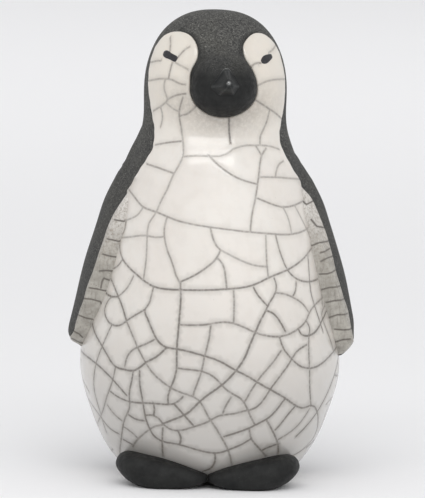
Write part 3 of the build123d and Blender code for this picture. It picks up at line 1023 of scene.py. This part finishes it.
def beak_material():
    """The burnished clay of the beak, polished at its tip, with pale wear on its edges."""
    shader = Shader("polished_clay", (0.014, 0.015, 0.016), 0.3)
    tip = shader.attribute("tip")
    broken = shader.band(shader.noise(0.8, 4.0, 0.75), 0.38, 0.52)
    colour = shader.layered(
        (0.008, 0.009, 0.0095),
        (shader.band(shader.noise(2.0, 4.0, 0.6), 0.35, 0.68), (0.016, 0.0175, 0.0175)),
        (shader.multiply(shader.attribute("stain"), broken), (0.50, 0.505, 0.49)),
    )
    shader.set(Base_Color=colour, Specular_IOR_Level=shader.band(tip, 0.1, 0.9, 0.26, 1.0))
    shader.set(Roughness=shader.band(tip, 0.1, 0.9, 0.52, 0.16))
    shader.set(Coat_Weight=shader.band(tip, 0.1, 0.9), Coat_IOR=2.2, Coat_Roughness=0.17)
    shader.bump(shader.noise(0.7, 4.0, 0.7), 0.08)
    return shader.material


def white_glaze_material():
    """Glossy white glaze over pale clay, with soot drawn into its cracks."""
    shader = Shader("crackle_glaze", (0.74, 0.72, 0.68), 0.12)
    stain = shader.attribute("stain")
    # Noise that breaks up the painted shade beside the flippers, round the muzzle and on the throat
    shade_breakup = shader.band(shader.noise(1.3, 4.0, 0.7), 0.25, 0.65, 0.35, 0.85)
    breaks = shader.band(shader.noise(1.1, 3.0, 0.7), 0.3, 0.62, 0.6, 1.0)
    colour = shader.layered(
        (0.705, 0.665, 0.620),
        (shader.band(shader.noise(22.0, 2.0), 0.35, 0.68), (0.725, 0.692, 0.648)),
        (shader.by_height(0.108, 0.135), (0.695, 0.648, 0.578)),
        (shader.band(shader.noise(5.0, 3.0, 0.6), 0.38, 0.75, 0.0, 0.35), (0.62, 0.578, 0.53)),
        # Painted shade: the glaze greyer towards the base, where the lower belly faces down to the floor
        (shader.by_height(0.004, 0.080, 0.82, 0.0), (0.43, 0.415, 0.395)),
        # Painted shade beside the flippers, round the muzzle and under it on the throat
        (shader.multiply(shader.attribute("painted_shade"), shade_breakup), (0.33, 0.295, 0.25)),
        (shader.multiply(shader.attribute("halo"), 0.22), (0.42, 0.385, 0.35)),
        (shader.multiply(stain, breaks), (0.165, 0.148, 0.130)),
        (shader.specks(1.7, 0.035, 0.075, 7.0, 0.54, 0.62), (0.36, 0.32, 0.29)),
    )
    shader.set(Base_Color=colour, Roughness=shader.band(stain, 0.1, 0.9, 0.32, 0.5))
    shader.set(Subsurface_Weight=0.12, Subsurface_Radius=(0.9, 0.7, 0.55), Subsurface_Scale=0.0012)
    shader.set(Coat_Weight=0.8, Coat_Roughness=0.11)
    shader.bump(shader.noise(3.4, 2.0), 0.05, 0.5)
    return shader.material


def grey_glaze_material():
    """Thin glaze on the flipper edges: streaky grey, paler and brown-pitted at the shoulder."""
    shader = Shader("thin_glaze", (0.36, 0.35, 0.33), 0.28)
    brown = shader.band(shader.noise(0.9, 4.0, 0.8), 0.44, 0.66, 0.0, 0.8)
    colour = shader.layered(
        (0.300, 0.282, 0.250),
        (shader.band(shader.noise(3.2, 4.0, 0.65), 0.32, 0.7), (0.440, 0.418, 0.376)),
        (shader.band(shader.streaks(0.7, 9.0), 0.5, 0.7, 0.0, 0.55), (0.20, 0.185, 0.165)),
        (shader.by_height(0.074, 0.096), (0.60, 0.575, 0.54)),
        (shader.multiply(shader.by_height(0.066, 0.084), brown), (0.245, 0.21, 0.17)),
        (shader.attribute("stain"), (0.105, 0.092, 0.078)),
        (shader.specks(0.8, 0.10, 0.2, 2.0, 0.50, 0.62), (0.11, 0.095, 0.08)),
    )
    shader.set(Base_Color=colour, Roughness=shader.band(shader.noise(1.1), 0.3, 0.7, 0.25, 0.5))
    shader.bump(shader.noise(0.8, 3.0, 0.6), 0.10)
    return shader.material


def oxide_material():
    shader = Shader("dark_oxide", (0.012, 0.012, 0.014), 0.3)
    tone = shader.band(shader.noise(1.0), 0.35, 0.7)
    shader.set(Base_Color=shader.layered((0.010, 0.010, 0.013), (tone, (0.024, 0.023, 0.026))))
    shader.bump(shader.noise(0.5, 2.0), 0.05)
    return shader.material


# Pieces

def add_body(material):
    """Torso and head as one hollow shell, open under the base."""
    columns, outer_rows, crown_rows, inner_rows = 224, 210, 10, 37
    crown_share = 0.97
    angle = full_turn(columns)
    crown_way = crown_share + (1 - crown_share) * np.sin(np.linspace(0.12, 1.5, crown_rows))
    lower_way = np.linspace(0, profile_length * crown_share, outer_rows)
    outer_way = np.concatenate([lower_way, profile_length * crown_way])
    outer = lifted(*surface_frame(*np.meshgrid(angle, outer_way)))
    outer[0, :, 2] = 0
    inner_way = np.linspace(0, profile_length, inner_rows + 3)[:inner_rows]
    inner = bare_surface(*np.meshgrid(angle, inner_way))
    radius = np.linalg.norm(inner[..., :2], axis=-1, keepdims=True)
    inner[..., :2] *= np.maximum(1 - wall / np.maximum(radius, 0.1), 0.02)
    inner[..., 2] -= wall * clamp((inner[..., 2] - torso_height) / head_height) ** 3
    crown = np.array([0, 0, profile_table[-1, 0]])
    crown[2] += unevenness(crown)
    hollow_top = [0, 0, inner[-1, :, 2].mean()]
    points = np.vstack([outer.reshape(-1, 3), inner.reshape(-1, 3), crown, hollow_top])
    inside, top = len(outer_way) * columns, len(points) - 2
    faces = grid_faces(len(outer_way), columns) + fan(inside - columns, columns, top)
    faces += grid_faces(inner_rows, columns, start=inside, flip=True)
    faces += fan(top - columns, columns, top + 1, flip=True)
    faces += [(inside + i, inside + (i + 1) % columns, (i + 1) % columns, i) for i in range(columns)]
    piece = add_mesh("clay_body", points, faces)
    dress(piece, material, "bare_clay", "torso_shell", "head_shell")


def face_places(across, level):
    """Points of the clay form under places given in the frame of the face."""
    rise = level - roll_centre_height
    x_local = across * roll_cos + rise * roll_sin
    z = rise * roll_cos - across * roll_sin + roll_centre_height + torso_height
    wide, front, _ = profile_at_height(z)
    a = (turn_sin / wide) ** 2 + (turn_cos / front) ** 2
    b = 2 * x_local * turn_sin * turn_cos * (1 / wide**2 - 1 / front**2)
    c = (x_local * turn_cos / wide) ** 2 + (x_local * turn_sin / front) ** 2 - 1
    return x_local, z, (-b + np.sqrt(np.maximum(b * b - 4 * a * c, 0))) / (2 * a)


def face_point(x_local, z, forward):
    """World points of places in the frame of the turned face."""
    x, y = x_local * turn_cos + forward * turn_sin, x_local * turn_sin - forward * turn_cos
    return np.stack([x, y, z], axis=-1)


def add_muzzle(material):
    """The muzzle ball and the brow above it as one lump, fading into the crown."""
    brow_top, brow_rise, edge_reach, depth_in_clay, blend_reach = 43.6, 1.5, 2.6, 2.6, 3.4
    fade_level, fade_reach, sink_level, sink_reach, sink_depth = 34, 8, 41.2, 2.4, 1.2
    rough_level, rough_reach, fall_off = 27, 11, 14
    low_turn = np.linspace(0.12, math.pi / 2, 26)
    low_level = muzzle_centre_height - muzzle_half_depth * np.cos(low_turn)
    high_level = np.linspace(muzzle_centre_height, brow_top, 72)[1:]
    limit = 0.8 * profile_at_height(torso_height + high_level)[0]
    right, left = [np.minimum(edge, limit) for edge in brow_edges(high_level)]
    levels = np.concatenate([low_level, high_level])[:, None]
    widths = np.concatenate([muzzle_half_width * np.sin(low_turn), (left + right) / 2])[:, None]
    low_middle = np.full(len(low_turn), muzzle_centre_across)
    middles = np.concatenate([low_middle, (left - right) / 2])[:, None]
    sweep = np.sin(np.linspace(-math.pi / 2, math.pi / 2, 65))
    across = middles + widths * sweep
    level = np.broadcast_to(levels, across.shape)
    x_local, z, base = face_places(across, level)
    to_edge = clamp((1 - np.abs(sweep)) * widths / edge_reach)
    roundness = round_edge(to_edge)
    fade = 1 - clamp((levels - fade_level) / fade_reach)
    fade = fade * fade * (3 - 2 * fade)
    sink = clamp((levels - sink_level) / sink_reach)
    rough = unevenness(face_point(x_local, z, base))
    brow = base + rough + 0.03 + brow_rise * fade * roundness - sink_depth * sink**1.5
    half_depth = np.where(level > muzzle_centre_height, muzzle_bridge_depth, muzzle_half_depth)
    ratio = 1 - ((across - muzzle_centre_across) / muzzle_half_width) ** 2
    ratio = ratio - ((level - muzzle_centre_height) / half_depth) ** 2
    ball = muzzle_half_width * np.sqrt(np.maximum(ratio, 0)) - fall_off * np.maximum(-ratio, 0)
    front = smooth_max(brow, muzzle_centre_reach + ball, blend_reach)
    front = front + 0.12 * np.sin(across / 2.1 + 1) * np.sin(level / 2.7) * roundness * fade
    front, back = face_point(x_local, z, front), face_point(x_local, z, base - depth_in_clay)
    rings = np.concatenate([front, back[:, ::-1]], axis=1)
    # The clay is rough again from the brow up, most of all away from its edges. This paler clay is partly the
    # real bare clay of the crown and partly painted light from above, with a painted sheen along the brow's
    # middle
    crown = clamp((levels - rough_level) / rough_reach) * (0.35 + 0.65 * np.maximum(to_edge, sink))
    crown = np.concatenate([crown, crown[:, ::-1]], axis=1).ravel()
    stain = np.concatenate([crown, [0, 1]])
    add_tube("muzzle_and_brow", rings, material, "smooth_clay", "muzzle", stain=stain)


# The beak's outline where it leaves the muzzle, as across and level, its tip, and its size
# on the way out from its root to its tip
beak_outline = [(-0.3, 30.9), (1.7, 31.0), (6.3, 23.9), (4.0, 20.0), (-2.6, 19.8), (-5.9, 23.6)]
beak_tip = (0.6, 26.0)
beak_shine = (0.5, 26.8)
beak_sections = [
    (24.5, 1.09), (28.6, 1.07), (30.0, 1.02), (31.0, 0.93), (34.0, 0.74), (37.0, 0.56),
    (39.2, 0.43), (40.3, 0.355), (41.0, 0.28), (41.45, 0.20), (41.7, 0.12), (41.8, 0.05),
]


def rounded_loop(corners, passes, count=72):
    """Evenly spaced points round a polygon, with its corners softened."""
    closed = np.vstack([corners, corners[:1]])
    length = length_along(closed)
    places = np.linspace(0, length[-1], count, endpoint=False)
    loop = rows_at(places, length, closed)
    for _ in range(passes):
        loop = (np.roll(loop, 1, axis=0) + 2 * loop + np.roll(loop, -1, axis=0)) / 4
    return loop


def add_beak(material):
    """A short faceted cone on the muzzle with worn edges and a blunt tip."""
    root_stretch, facet_depth, worn_size, worn_reach, shine_reach = 1.04, 0.8, 0.96, 0.075, 0.95
    corners = np.array(beak_outline)
    reaches, sizes = np.array(beak_sections).T
    reaches = reaches + (beak_reach + 0.05) - reaches[-1]
    facet_outline = rounded_loop(corners, 2)
    round_outline = beak_tip + (rounded_loop(corners, 26) - beak_tip) * root_stretch
    rings, wear, tips = [], [], []
    for reach in np.linspace(reaches[0], reaches[-1], 60):
        size = np.interp(reach, reaches, sizes)
        faceted = clamp((1.0 - size) / 0.15) * clamp((size - 0.3) / 0.2)
        loop = round_outline + (facet_outline - round_outline) * facet_depth * faceted
        to_corner = np.linalg.norm(loop[:, None] - corners, axis=-1).min(axis=1)
        outline = beak_tip + (loop - beak_tip) * size
        x_local, z = outline.T + [[0], [torso_height]]
        rings.append(face_point(x_local, z, np.full(len(loop), reach)))
        at_root = np.exp(-(((size - worn_size) / worn_reach) ** 2)) * np.clip((loop[:, 1] - 24.0) / 2, 0.7, 1)
        wear.append(np.maximum(at_root, 0.1 * clamp(1 - to_corner / 0.9)))
        to_shine = np.linalg.norm(outline - beak_shine, axis=-1)
        tips.append(clamp(1.6 - to_shine / shine_reach) * (reach > 38))
    marks = {"stain": np.concatenate([*wear, [0, 0]]), "tip": np.concatenate([*tips, [0, 1]])}
    add_tube("beak_cone", rings, material, "smooth_clay", "beak", **marks)


# Where the right shoulder stands out furthest: height and distance from the middle
right_shoulder_line = [
    (106.0, 32.4), (109.0, 31.0), (112.5, 29.2), (115.9, 27.3), (119.4, 25.7), (122.7, 24.2),
]
rear_points, front_points, corner_points = 24, 14, 5
flipper_root, least_stand_off, corner_radius = 2.0, 0.4, 1.3
slant_rise, round_rise, tip_drop, tip_share = 3.4, 5.0, 0.9, 0.16


def flipper_outline(share, side):
    """The outline of the flipper at a height share: inner side, front edge, outer side, rear."""
    z = flipper_low[2] + share * flipper_length
    edge, widest, front_y, rear_y = flipper_rows(np.array([share]), side)[0]
    wide, front, back = profile_at_height(z)

    def inner_x(y):
        """The flipper's inner side, which lies inside the torso."""
        return wide * np.sqrt(np.maximum(1 - (y / np.where(y < 0, front, back)) ** 2, 0)) - flipper_root

    def leg(x, y):
        return np.column_stack(np.broadcast_arrays(x, y))

    edge_x = max(wide + edge, inner_x(front_y) + least_stand_off)
    rear_x = max(wide + edge, inner_x(rear_y) + least_stand_off)
    widest_x = max(wide + widest, edge_x + 0.1)
    if side < 0 and z > right_shoulder_line[0][0]:
        widest_x = max(widest_x, np.interp(z, *np.array(right_shoulder_line).T))
    # The widest line stays inside the CAD flipper's box
    widest_x = -smooth_max(-widest_x, -flipper_high[0] - 0.1, 0.4)
    edge_x, rear_x = min(edge_x, widest_x - 0.1), min(rear_x, widest_x - 0.1)
    corner = min(corner_radius, (rear_y - front_y) / 5, (edge_x - inner_x(front_y)) / 2)
    quarter = np.linspace(0, math.pi / 2, corner_points + 2)[1:-1]
    sin, cos = corner * np.sin(quarter), corner * np.cos(quarter)
    inner_y = np.linspace(rear_y, front_y, rear_points + 2)[1:-1]
    bow = np.linspace(0, 1, 30)
    bowed = edge_x * (1 - bow) + rear_x * bow + (widest_x - max(edge_x, rear_x)) * 4 * bow * (1 - bow)
    outline = np.vstack([
        leg(inner_x(inner_y), inner_y),
        leg(np.linspace(inner_x(front_y), edge_x - corner, front_points), front_y),
        leg(edge_x - corner + sin, front_y + corner - cos),
        leg(bowed, front_y + corner + bow * (rear_y - front_y - 2 * corner)),
        leg(rear_x - corner + sin[::-1], rear_y - corner + cos[::-1]),
        leg(np.linspace(rear_x - corner, inner_x(rear_y), front_points), rear_y),
    ])
    ring = np.column_stack([outline, np.full(len(outline), z)])
    # The right tip is cut at a slant, higher outside than inside, and the left one is round
    outward = (ring[:, 0] - ring[:, 0].min()) / max(np.ptp(ring[:, 0]), 0.1)
    rise = slant_rise * outward if side < 0 else round_rise * clamp((outward - 0.3) / 0.7) ** 2.4
    ring[:, 2] += (rise - tip_drop) * (1 - clamp(share / tip_share)) ** 2
    ring[:, 0] *= side
    ring[:, 0] += side * 0.8 * unevenness(ring * [1, 1.3, 1.1])
    return ring


# Closing sections of a flipper's tip: size, and height as a share of the room under the next ring
tip_sections = [(0.35, 0.0), (0.75, 0.06), (0.93, 0.26), (1.0, 0.66)]
tip_room = 0.64


def add_flipper(side_name, side, material):
    """A slab along the side, with its rings closer together at the tip."""
    close_share, close_rings, other_rings = 0.12, 14, 80
    low = np.linspace(0.0, close_share, close_rings)[:-1]
    high = np.linspace(close_share, flipper_top_share, other_rings)
    first, *rings = [flipper_outline(share, side)[::side] for share in (*low, *high)]
    centre = first.mean(axis=0)
    room = np.clip(rings[0][:, 2] - first[:, 2], 0, tip_room)
    tip = []
    for size, rise in tip_sections:
        ring = centre + (first - centre) * [size, size, 1]
        ring[:, 2] = first[:, 2] + rise * room
        tip.append(ring)
    add_tube(side_name + "_flipper_slab", tip + rings, material, "bare_clay", side_name + "_flipper")


# Cracks across the flipper edges, read off two more enlarged views
right_band_view = {"corner": (55, 170), "step": 0.1212}
left_band_view = {"corner": (290, 170), "step": 0.1212}
right_band_cracks = [
    [(500, 400), (570, 412), (640, 385)],
    [(440, 555), (530, 575), (560, 560)],
    [(400, 680), (450, 695), (515, 705)],
    [(370, 820), (430, 815), (490, 822)],
    [(380, 960), (390, 910), (405, 880), (460, 900)],
    [(290, 960), (340, 968), (420, 985)],
    [(240, 1050), (300, 1055), (375, 1075), (395, 1110)],
    [(205, 1195), (250, 1215), (310, 1228)],
    [(150, 1330), (200, 1360), (225, 1390)],
    [(140, 1405), (200, 1440), (230, 1445)],
]
left_band_cracks = [
    [(90, 250), (130, 290), (190, 270)],
    [(170, 410), (215, 470), (270, 490)],
    [(180, 625), (240, 600), (310, 603)],
    [(250, 685), (320, 662)],
    [(255, 755), (300, 730), (350, 725)],
    [(245, 862), (310, 858), (365, 838)],
    [(262, 990), (330, 972), (410, 968)],
    [(300, 1098), (370, 1083), (435, 1078)],
    [(325, 1225), (390, 1202), (465, 1200)],
    [(370, 1322), (440, 1328), (500, 1325)],
    [(375, 1430), (430, 1412), (495, 1405)],
]

# Where the thin glaze ends on the outer corner of each flipper, as pixels of the photograph
right_band_edge = [
    (139, 170), (131.6, 185.7), (127, 195), (121, 201), (114, 213), (106, 231.6), (100.8, 248),
    (94.6, 267), (87.3, 287.5), (81, 308), (75, 327), (70.7, 339.4), (69.5, 346),
]
left_band_edge = [
    (292, 174), (296.3, 181), (304, 192), (312.6, 199), (319.5, 209.6), (324.6, 225), (329.3, 246),
    (336, 273), (342.3, 296), (348.5, 312.4), (351.6, 327), (352.7, 341.5), (353.5, 350),
]


def add_flipper_glaze(side_name, side, view, cracks, band_edge, material):
    """A thin coat on the flipper's front edge and round its corner, with stained cracks across."""
    columns, thickness, root, edge_reach = 34, 0.4, 0.25, 0.6
    groove_depth, groove_half_width, groove_steps = 0.08, 0.45, 60
    edge_depth, cracks_depth, window = -11.0, -12.0, 43
    least_past_corner, more_past_corner = 2.0, 3.5
    corner_end = front_points + corner_points - 1
    shares = np.linspace(0.008, 0.88, 330)
    edge_x, edge_z = seen_at_depth(band_edge, edge_depth)
    order = np.argsort(edge_z)
    paths, ends = [], []
    for share in shares:
        path = flipper_outline(share, side)[rear_points : rear_points + 36]
        z = path[:, 2].mean()
        length = length_along(path[:, :2])
        limit = np.interp(z, edge_z[order], np.abs(edge_x)[order])
        limit = limit + 0.1 * math.sin(z / 1.7) + 0.08 * math.sin(z / 0.6)
        beyond = np.abs(path[:, 0]) > limit
        end = np.interp(limit, np.abs(path[:, 0]), length) if beyond.any() else length[-1]
        past_corner = least_past_corner + more_past_corner * clamp((share - 0.12) / 0.2)
        paths.append((share, path, length))
        ends.append(min(max(end, 0.6), length[corner_end] + past_corner))
    soften = np.hanning(window)[1:-1] / np.hanning(window).sum()
    ends = np.convolve(np.pad(ends, (window - 3) // 2, mode="edge"), soften, mode="valid")
    lines, outwards, lifts = [], [], []
    for (share, path, length), end in zip(paths, ends):
        start = min(0.5, end / 3)
        places = np.linspace(start, end, columns)
        line = rows_at(places, length, path)
        run = unit(np.gradient(line[:, :2], axis=0))
        outward = side * np.column_stack([run[:, 1], -run[:, 0], np.zeros(columns)])
        to_end = min(share - shares[0] + 0.002, shares[-1] - share) * flipper_length
        to_edge = np.minimum(np.minimum(places - start, end - places), to_end)
        lines.append(line)
        outwards.append(outward)
        lifts.append(thickness * round_edge(to_edge / edge_reach) - 0.04)
    lines, outwards, lifts = np.array(lines), np.array(outwards), np.array(lifts)
    middle = []
    for chain in cracks:
        x, z = seen_at_depth(pixels_of(view, chain), cracks_depth)
        knots = np.arange(len(x))
        fine = np.linspace(0, knots[-1], groove_steps)
        middle.append(rows_at(fine, knots, np.column_stack([x, 0 * x, z])))
    to_crack, _ = nearest(np.concatenate(middle), lines.reshape(-1, 3) * [1, 0, 1])
    stain = (clamp(1 - (to_crack / groove_half_width) ** 2) ** 1.5).reshape(lifts.shape)
    top = lines + outwards * (lifts - groove_depth * stain)[..., None]
    rings = np.concatenate([top, (lines - outwards * root)[:, ::-1]], axis=1)[:, ::-side]
    marks = np.concatenate([stain, stain * 0], axis=1)[:, ::-side]
    names = side_name + "_flipper_coat", side_name + "_flipper_glaze"
    stain = np.append(marks, [0, 0])
    add_tube(names[0], rings, material, "grey_crackle_glaze", names[1], stain=stain)


# Sections of one foot from the ground up: the way up, how far it reaches out and in from its
# middle as shares of half its length, and its width as a share
foot_section_shares = [
    (0.00, 0.52, 0.86, 0.84), (0.05, 0.61, 0.92, 0.90), (0.14, 0.73, 0.96, 0.95),
    (0.36, 0.90, 1.00, 1.00), (0.62, 1.00, 1.01, 1.00), (0.80, 0.975, 1.00, 0.95),
    (0.92, 0.91, 0.97, 0.86), (0.98, 0.82, 0.92, 0.73), (1.01, 0.68, 0.82, 0.56),
    (1.025, 0.45, 0.60, 0.36), (1.03, 0.14, 0.20, 0.10),
]


def add_foot(side_name, side, material):
    """A rounded slab, tall outside and low where the feet meet."""
    half_length, half_width, splay = 15.6, 13.0, math.radians(4)
    outer_height, inner_height, inner_lift, inner_forward = 11.3, 4.9, 2.2, 4.0
    centre_x, centre_y, squareness, inner_stretch, hollow = 15.75, -24.5, 0.9, 1.045, 0.15
    table = np.array(foot_section_shares)
    knots = length_along(table * [0.7, 1, 1, 1])
    turn = full_turn(88)
    across, forth = squared_off(np.cos(turn), squareness), squared_off(np.sin(turn), squareness)
    rings = []
    for up, outer, inner, width in smooth_through(knots, table, np.linspace(0, knots[-1], 44)):
        x = across * half_length * np.where(across > 0, outer, inner * inner_stretch)
        y = forth * half_width * width
        to_inner = clamp(-x / half_length)
        to_outer = clamp((half_length - x) / (2 * half_length))
        tall = inner_height + (outer_height - inner_height) * (1 - to_outer**2)
        lift = inner_lift * to_inner**3
        world_x = np.maximum(centre_x + x * math.cos(splay) + y * math.sin(splay), 0.1)
        world_y = centre_y - x * math.sin(splay) + y * math.cos(splay) - inner_forward * to_inner**2
        ring = np.column_stack([world_x * side, world_y, lift + np.maximum(up, 0) * (tall - lift)])
        ring[:, 2] += hollow * min(up * 4, 1) * (np.sin(x / 3.0 + side) * np.sin(y / 2.6) - 1)
        rings.append(ring[::side])
    add_tube(side_name + "_foot_slab", rings, material, "smooth_clay", side_name + "_foot")


def add_tail(material):
    """A short blunt stub low on the back."""
    half_width = (tail_high[0] - tail_low[0]) / 2
    half_height, root_depth, root_height = 4.6, 10, 14.0
    root = np.array([0, back_reach - root_depth, root_height])
    tip = np.array([0, tail_high[1] - 0.1, tail_low[2] + 3.0])
    turn = full_turn(56)
    rings = []
    for way in np.sin(np.linspace(0, math.pi / 2, 26)):
        size = (1 - way**3.2 * 0.97) ** 0.55
        round_it = [-half_width * np.cos(turn), 0 * turn, half_height * np.sin(turn) * (1 - 0.25 * way)]
        rings.append(root + (tip - root) * way + size * np.column_stack(round_it))
    add_tube("tail_stub", rings, material, "bare_clay", "tail")


# Sections of an eye from inside the glaze outwards: size and height above the clay
eye_sections = [
    (0.3, 0.30), (0.7, 0.30), (1.0, 0.32), (1.0, 0.52), (0.93, 0.64), (0.75, 0.70), (0.4, 0.72),
]


def add_eye(side_name, side, material):
    """A slit of dark oxide glaze with soft ends, standing a little above the white."""
    half_length, half_width, tilt = 2.2, 1.22, math.radians(24)
    from_middle, shift, eye_level = 16.2, 0.7, 32.5
    turn = full_turn(48)
    rings = []
    for size, lift in eye_sections:
        along = squared_off(np.cos(turn), 0.62) * half_length * size
        over = squared_off(np.sin(turn), 0.7) * half_width * size
        over = over * (1 + 0.14 * np.sin(along * 1.5 + 2.2 * side))
        across = side * from_middle - shift + along * math.cos(tilt) - side * over * math.sin(tilt)
        level = eye_level + side * along * math.sin(tilt) + over * math.cos(tilt)
        x_local, z, forward = face_places(across, level)
        x, y, _ = face_point(x_local, z, forward).T
        wide, front, _ = profile_at_height(z)
        angle = np.arctan2(x / wide, -y / front)
        rings.append(lifted(*surface_frame(angle, way_at_height(z)), lift))
    add_tube(side_name + "_eye_slit", rings, material, "dark_oxide_glaze", side_name + "_eye")


# Stage

def add_stage():
    """A pale floor that curves up behind the figurine."""
    shader = Shader("pale_paper", (0.885, 0.885, 0.897), 0.8)
    reach, depth, bend = 6000.0, 5300.0, 700.0
    turn = np.linspace(0, math.pi / 2, 24)
    y = np.concatenate([[-reach], depth + bend * np.sin(turn), [depth + bend]])
    z = np.concatenate([[0], bend * (1 - np.cos(turn)), [reach]])
    points = [(x, *place) for place in zip(y, z) for x in (-reach, reach)]
    floor = add_mesh("backdrop", points, grid_faces(len(y), 2, wrap=False))
    floor.data.materials.append(shader.material)


def add_light(name, place, aim, width, height, power, spread=math.pi):
    data = bpy.data.lights.new(name, "AREA")
    data.spread = spread
    data.shape = "RECTANGLE"
    data.size = width * METRE
    data.size_y = height * METRE
    data.energy = power
    light = add_object(name, data)
    light.location = Vector(place) * METRE
    light.rotation_euler = (Vector(aim) - Vector(place)).to_track_quat("-Z", "Y").to_euler()


def add_lights():
    """A window above and in front, a broad dim fill and an even pale surround."""
    add_light("window", (-60, -800, 900), (0, 0, 110), 1000, 280, 3.5)
    add_light("fill", (480, -900, 480), (0, 0, 95), 1200, 900, 1.4)
    add_light("backdrop_light", (0, 1350, 800), (0, 1350, 0), 1800, 900, 0.7, math.radians(100))
    world = bpy.data.worlds.new("surround")
    world.use_nodes = True
    background = world.node_tree.nodes["Background"]
    background.inputs["Color"].default_value = (1.0, 1.0, 1.0, 1)
    background.inputs["Strength"].default_value = 0.85
    bpy.context.scene.world = world


def build():
    bare_clay, smooth_clay = bare_clay_material(), smooth_clay_material()
    grey_glaze, oxide = grey_glaze_material(), oxide_material()
    add_camera()
    add_stage()
    add_lights()
    add_body(bare_clay)
    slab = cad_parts["base_slab"]
    slab.data.materials.clear()
    slab.data.materials.append(bare_clay)
    add_muzzle(smooth_clay)
    add_beak(beak_material())
    for side_name, side, view, cracks, band_edge in (
        ("left", 1, left_band_view, left_band_cracks, left_band_edge),
        ("right", -1, right_band_view, right_band_cracks, right_band_edge),
    ):
        add_flipper(side_name, side, bare_clay)
        add_flipper_glaze(side_name, side, view, cracks, band_edge, grey_glaze)
        add_foot(side_name, side, smooth_clay)
        add_eye(side_name, side, oxide)
    add_tail(bare_clay)
    add_front_glaze(white_glaze_material())


build()
bpy.context.scene.view_settings.view_transform = "Standard"
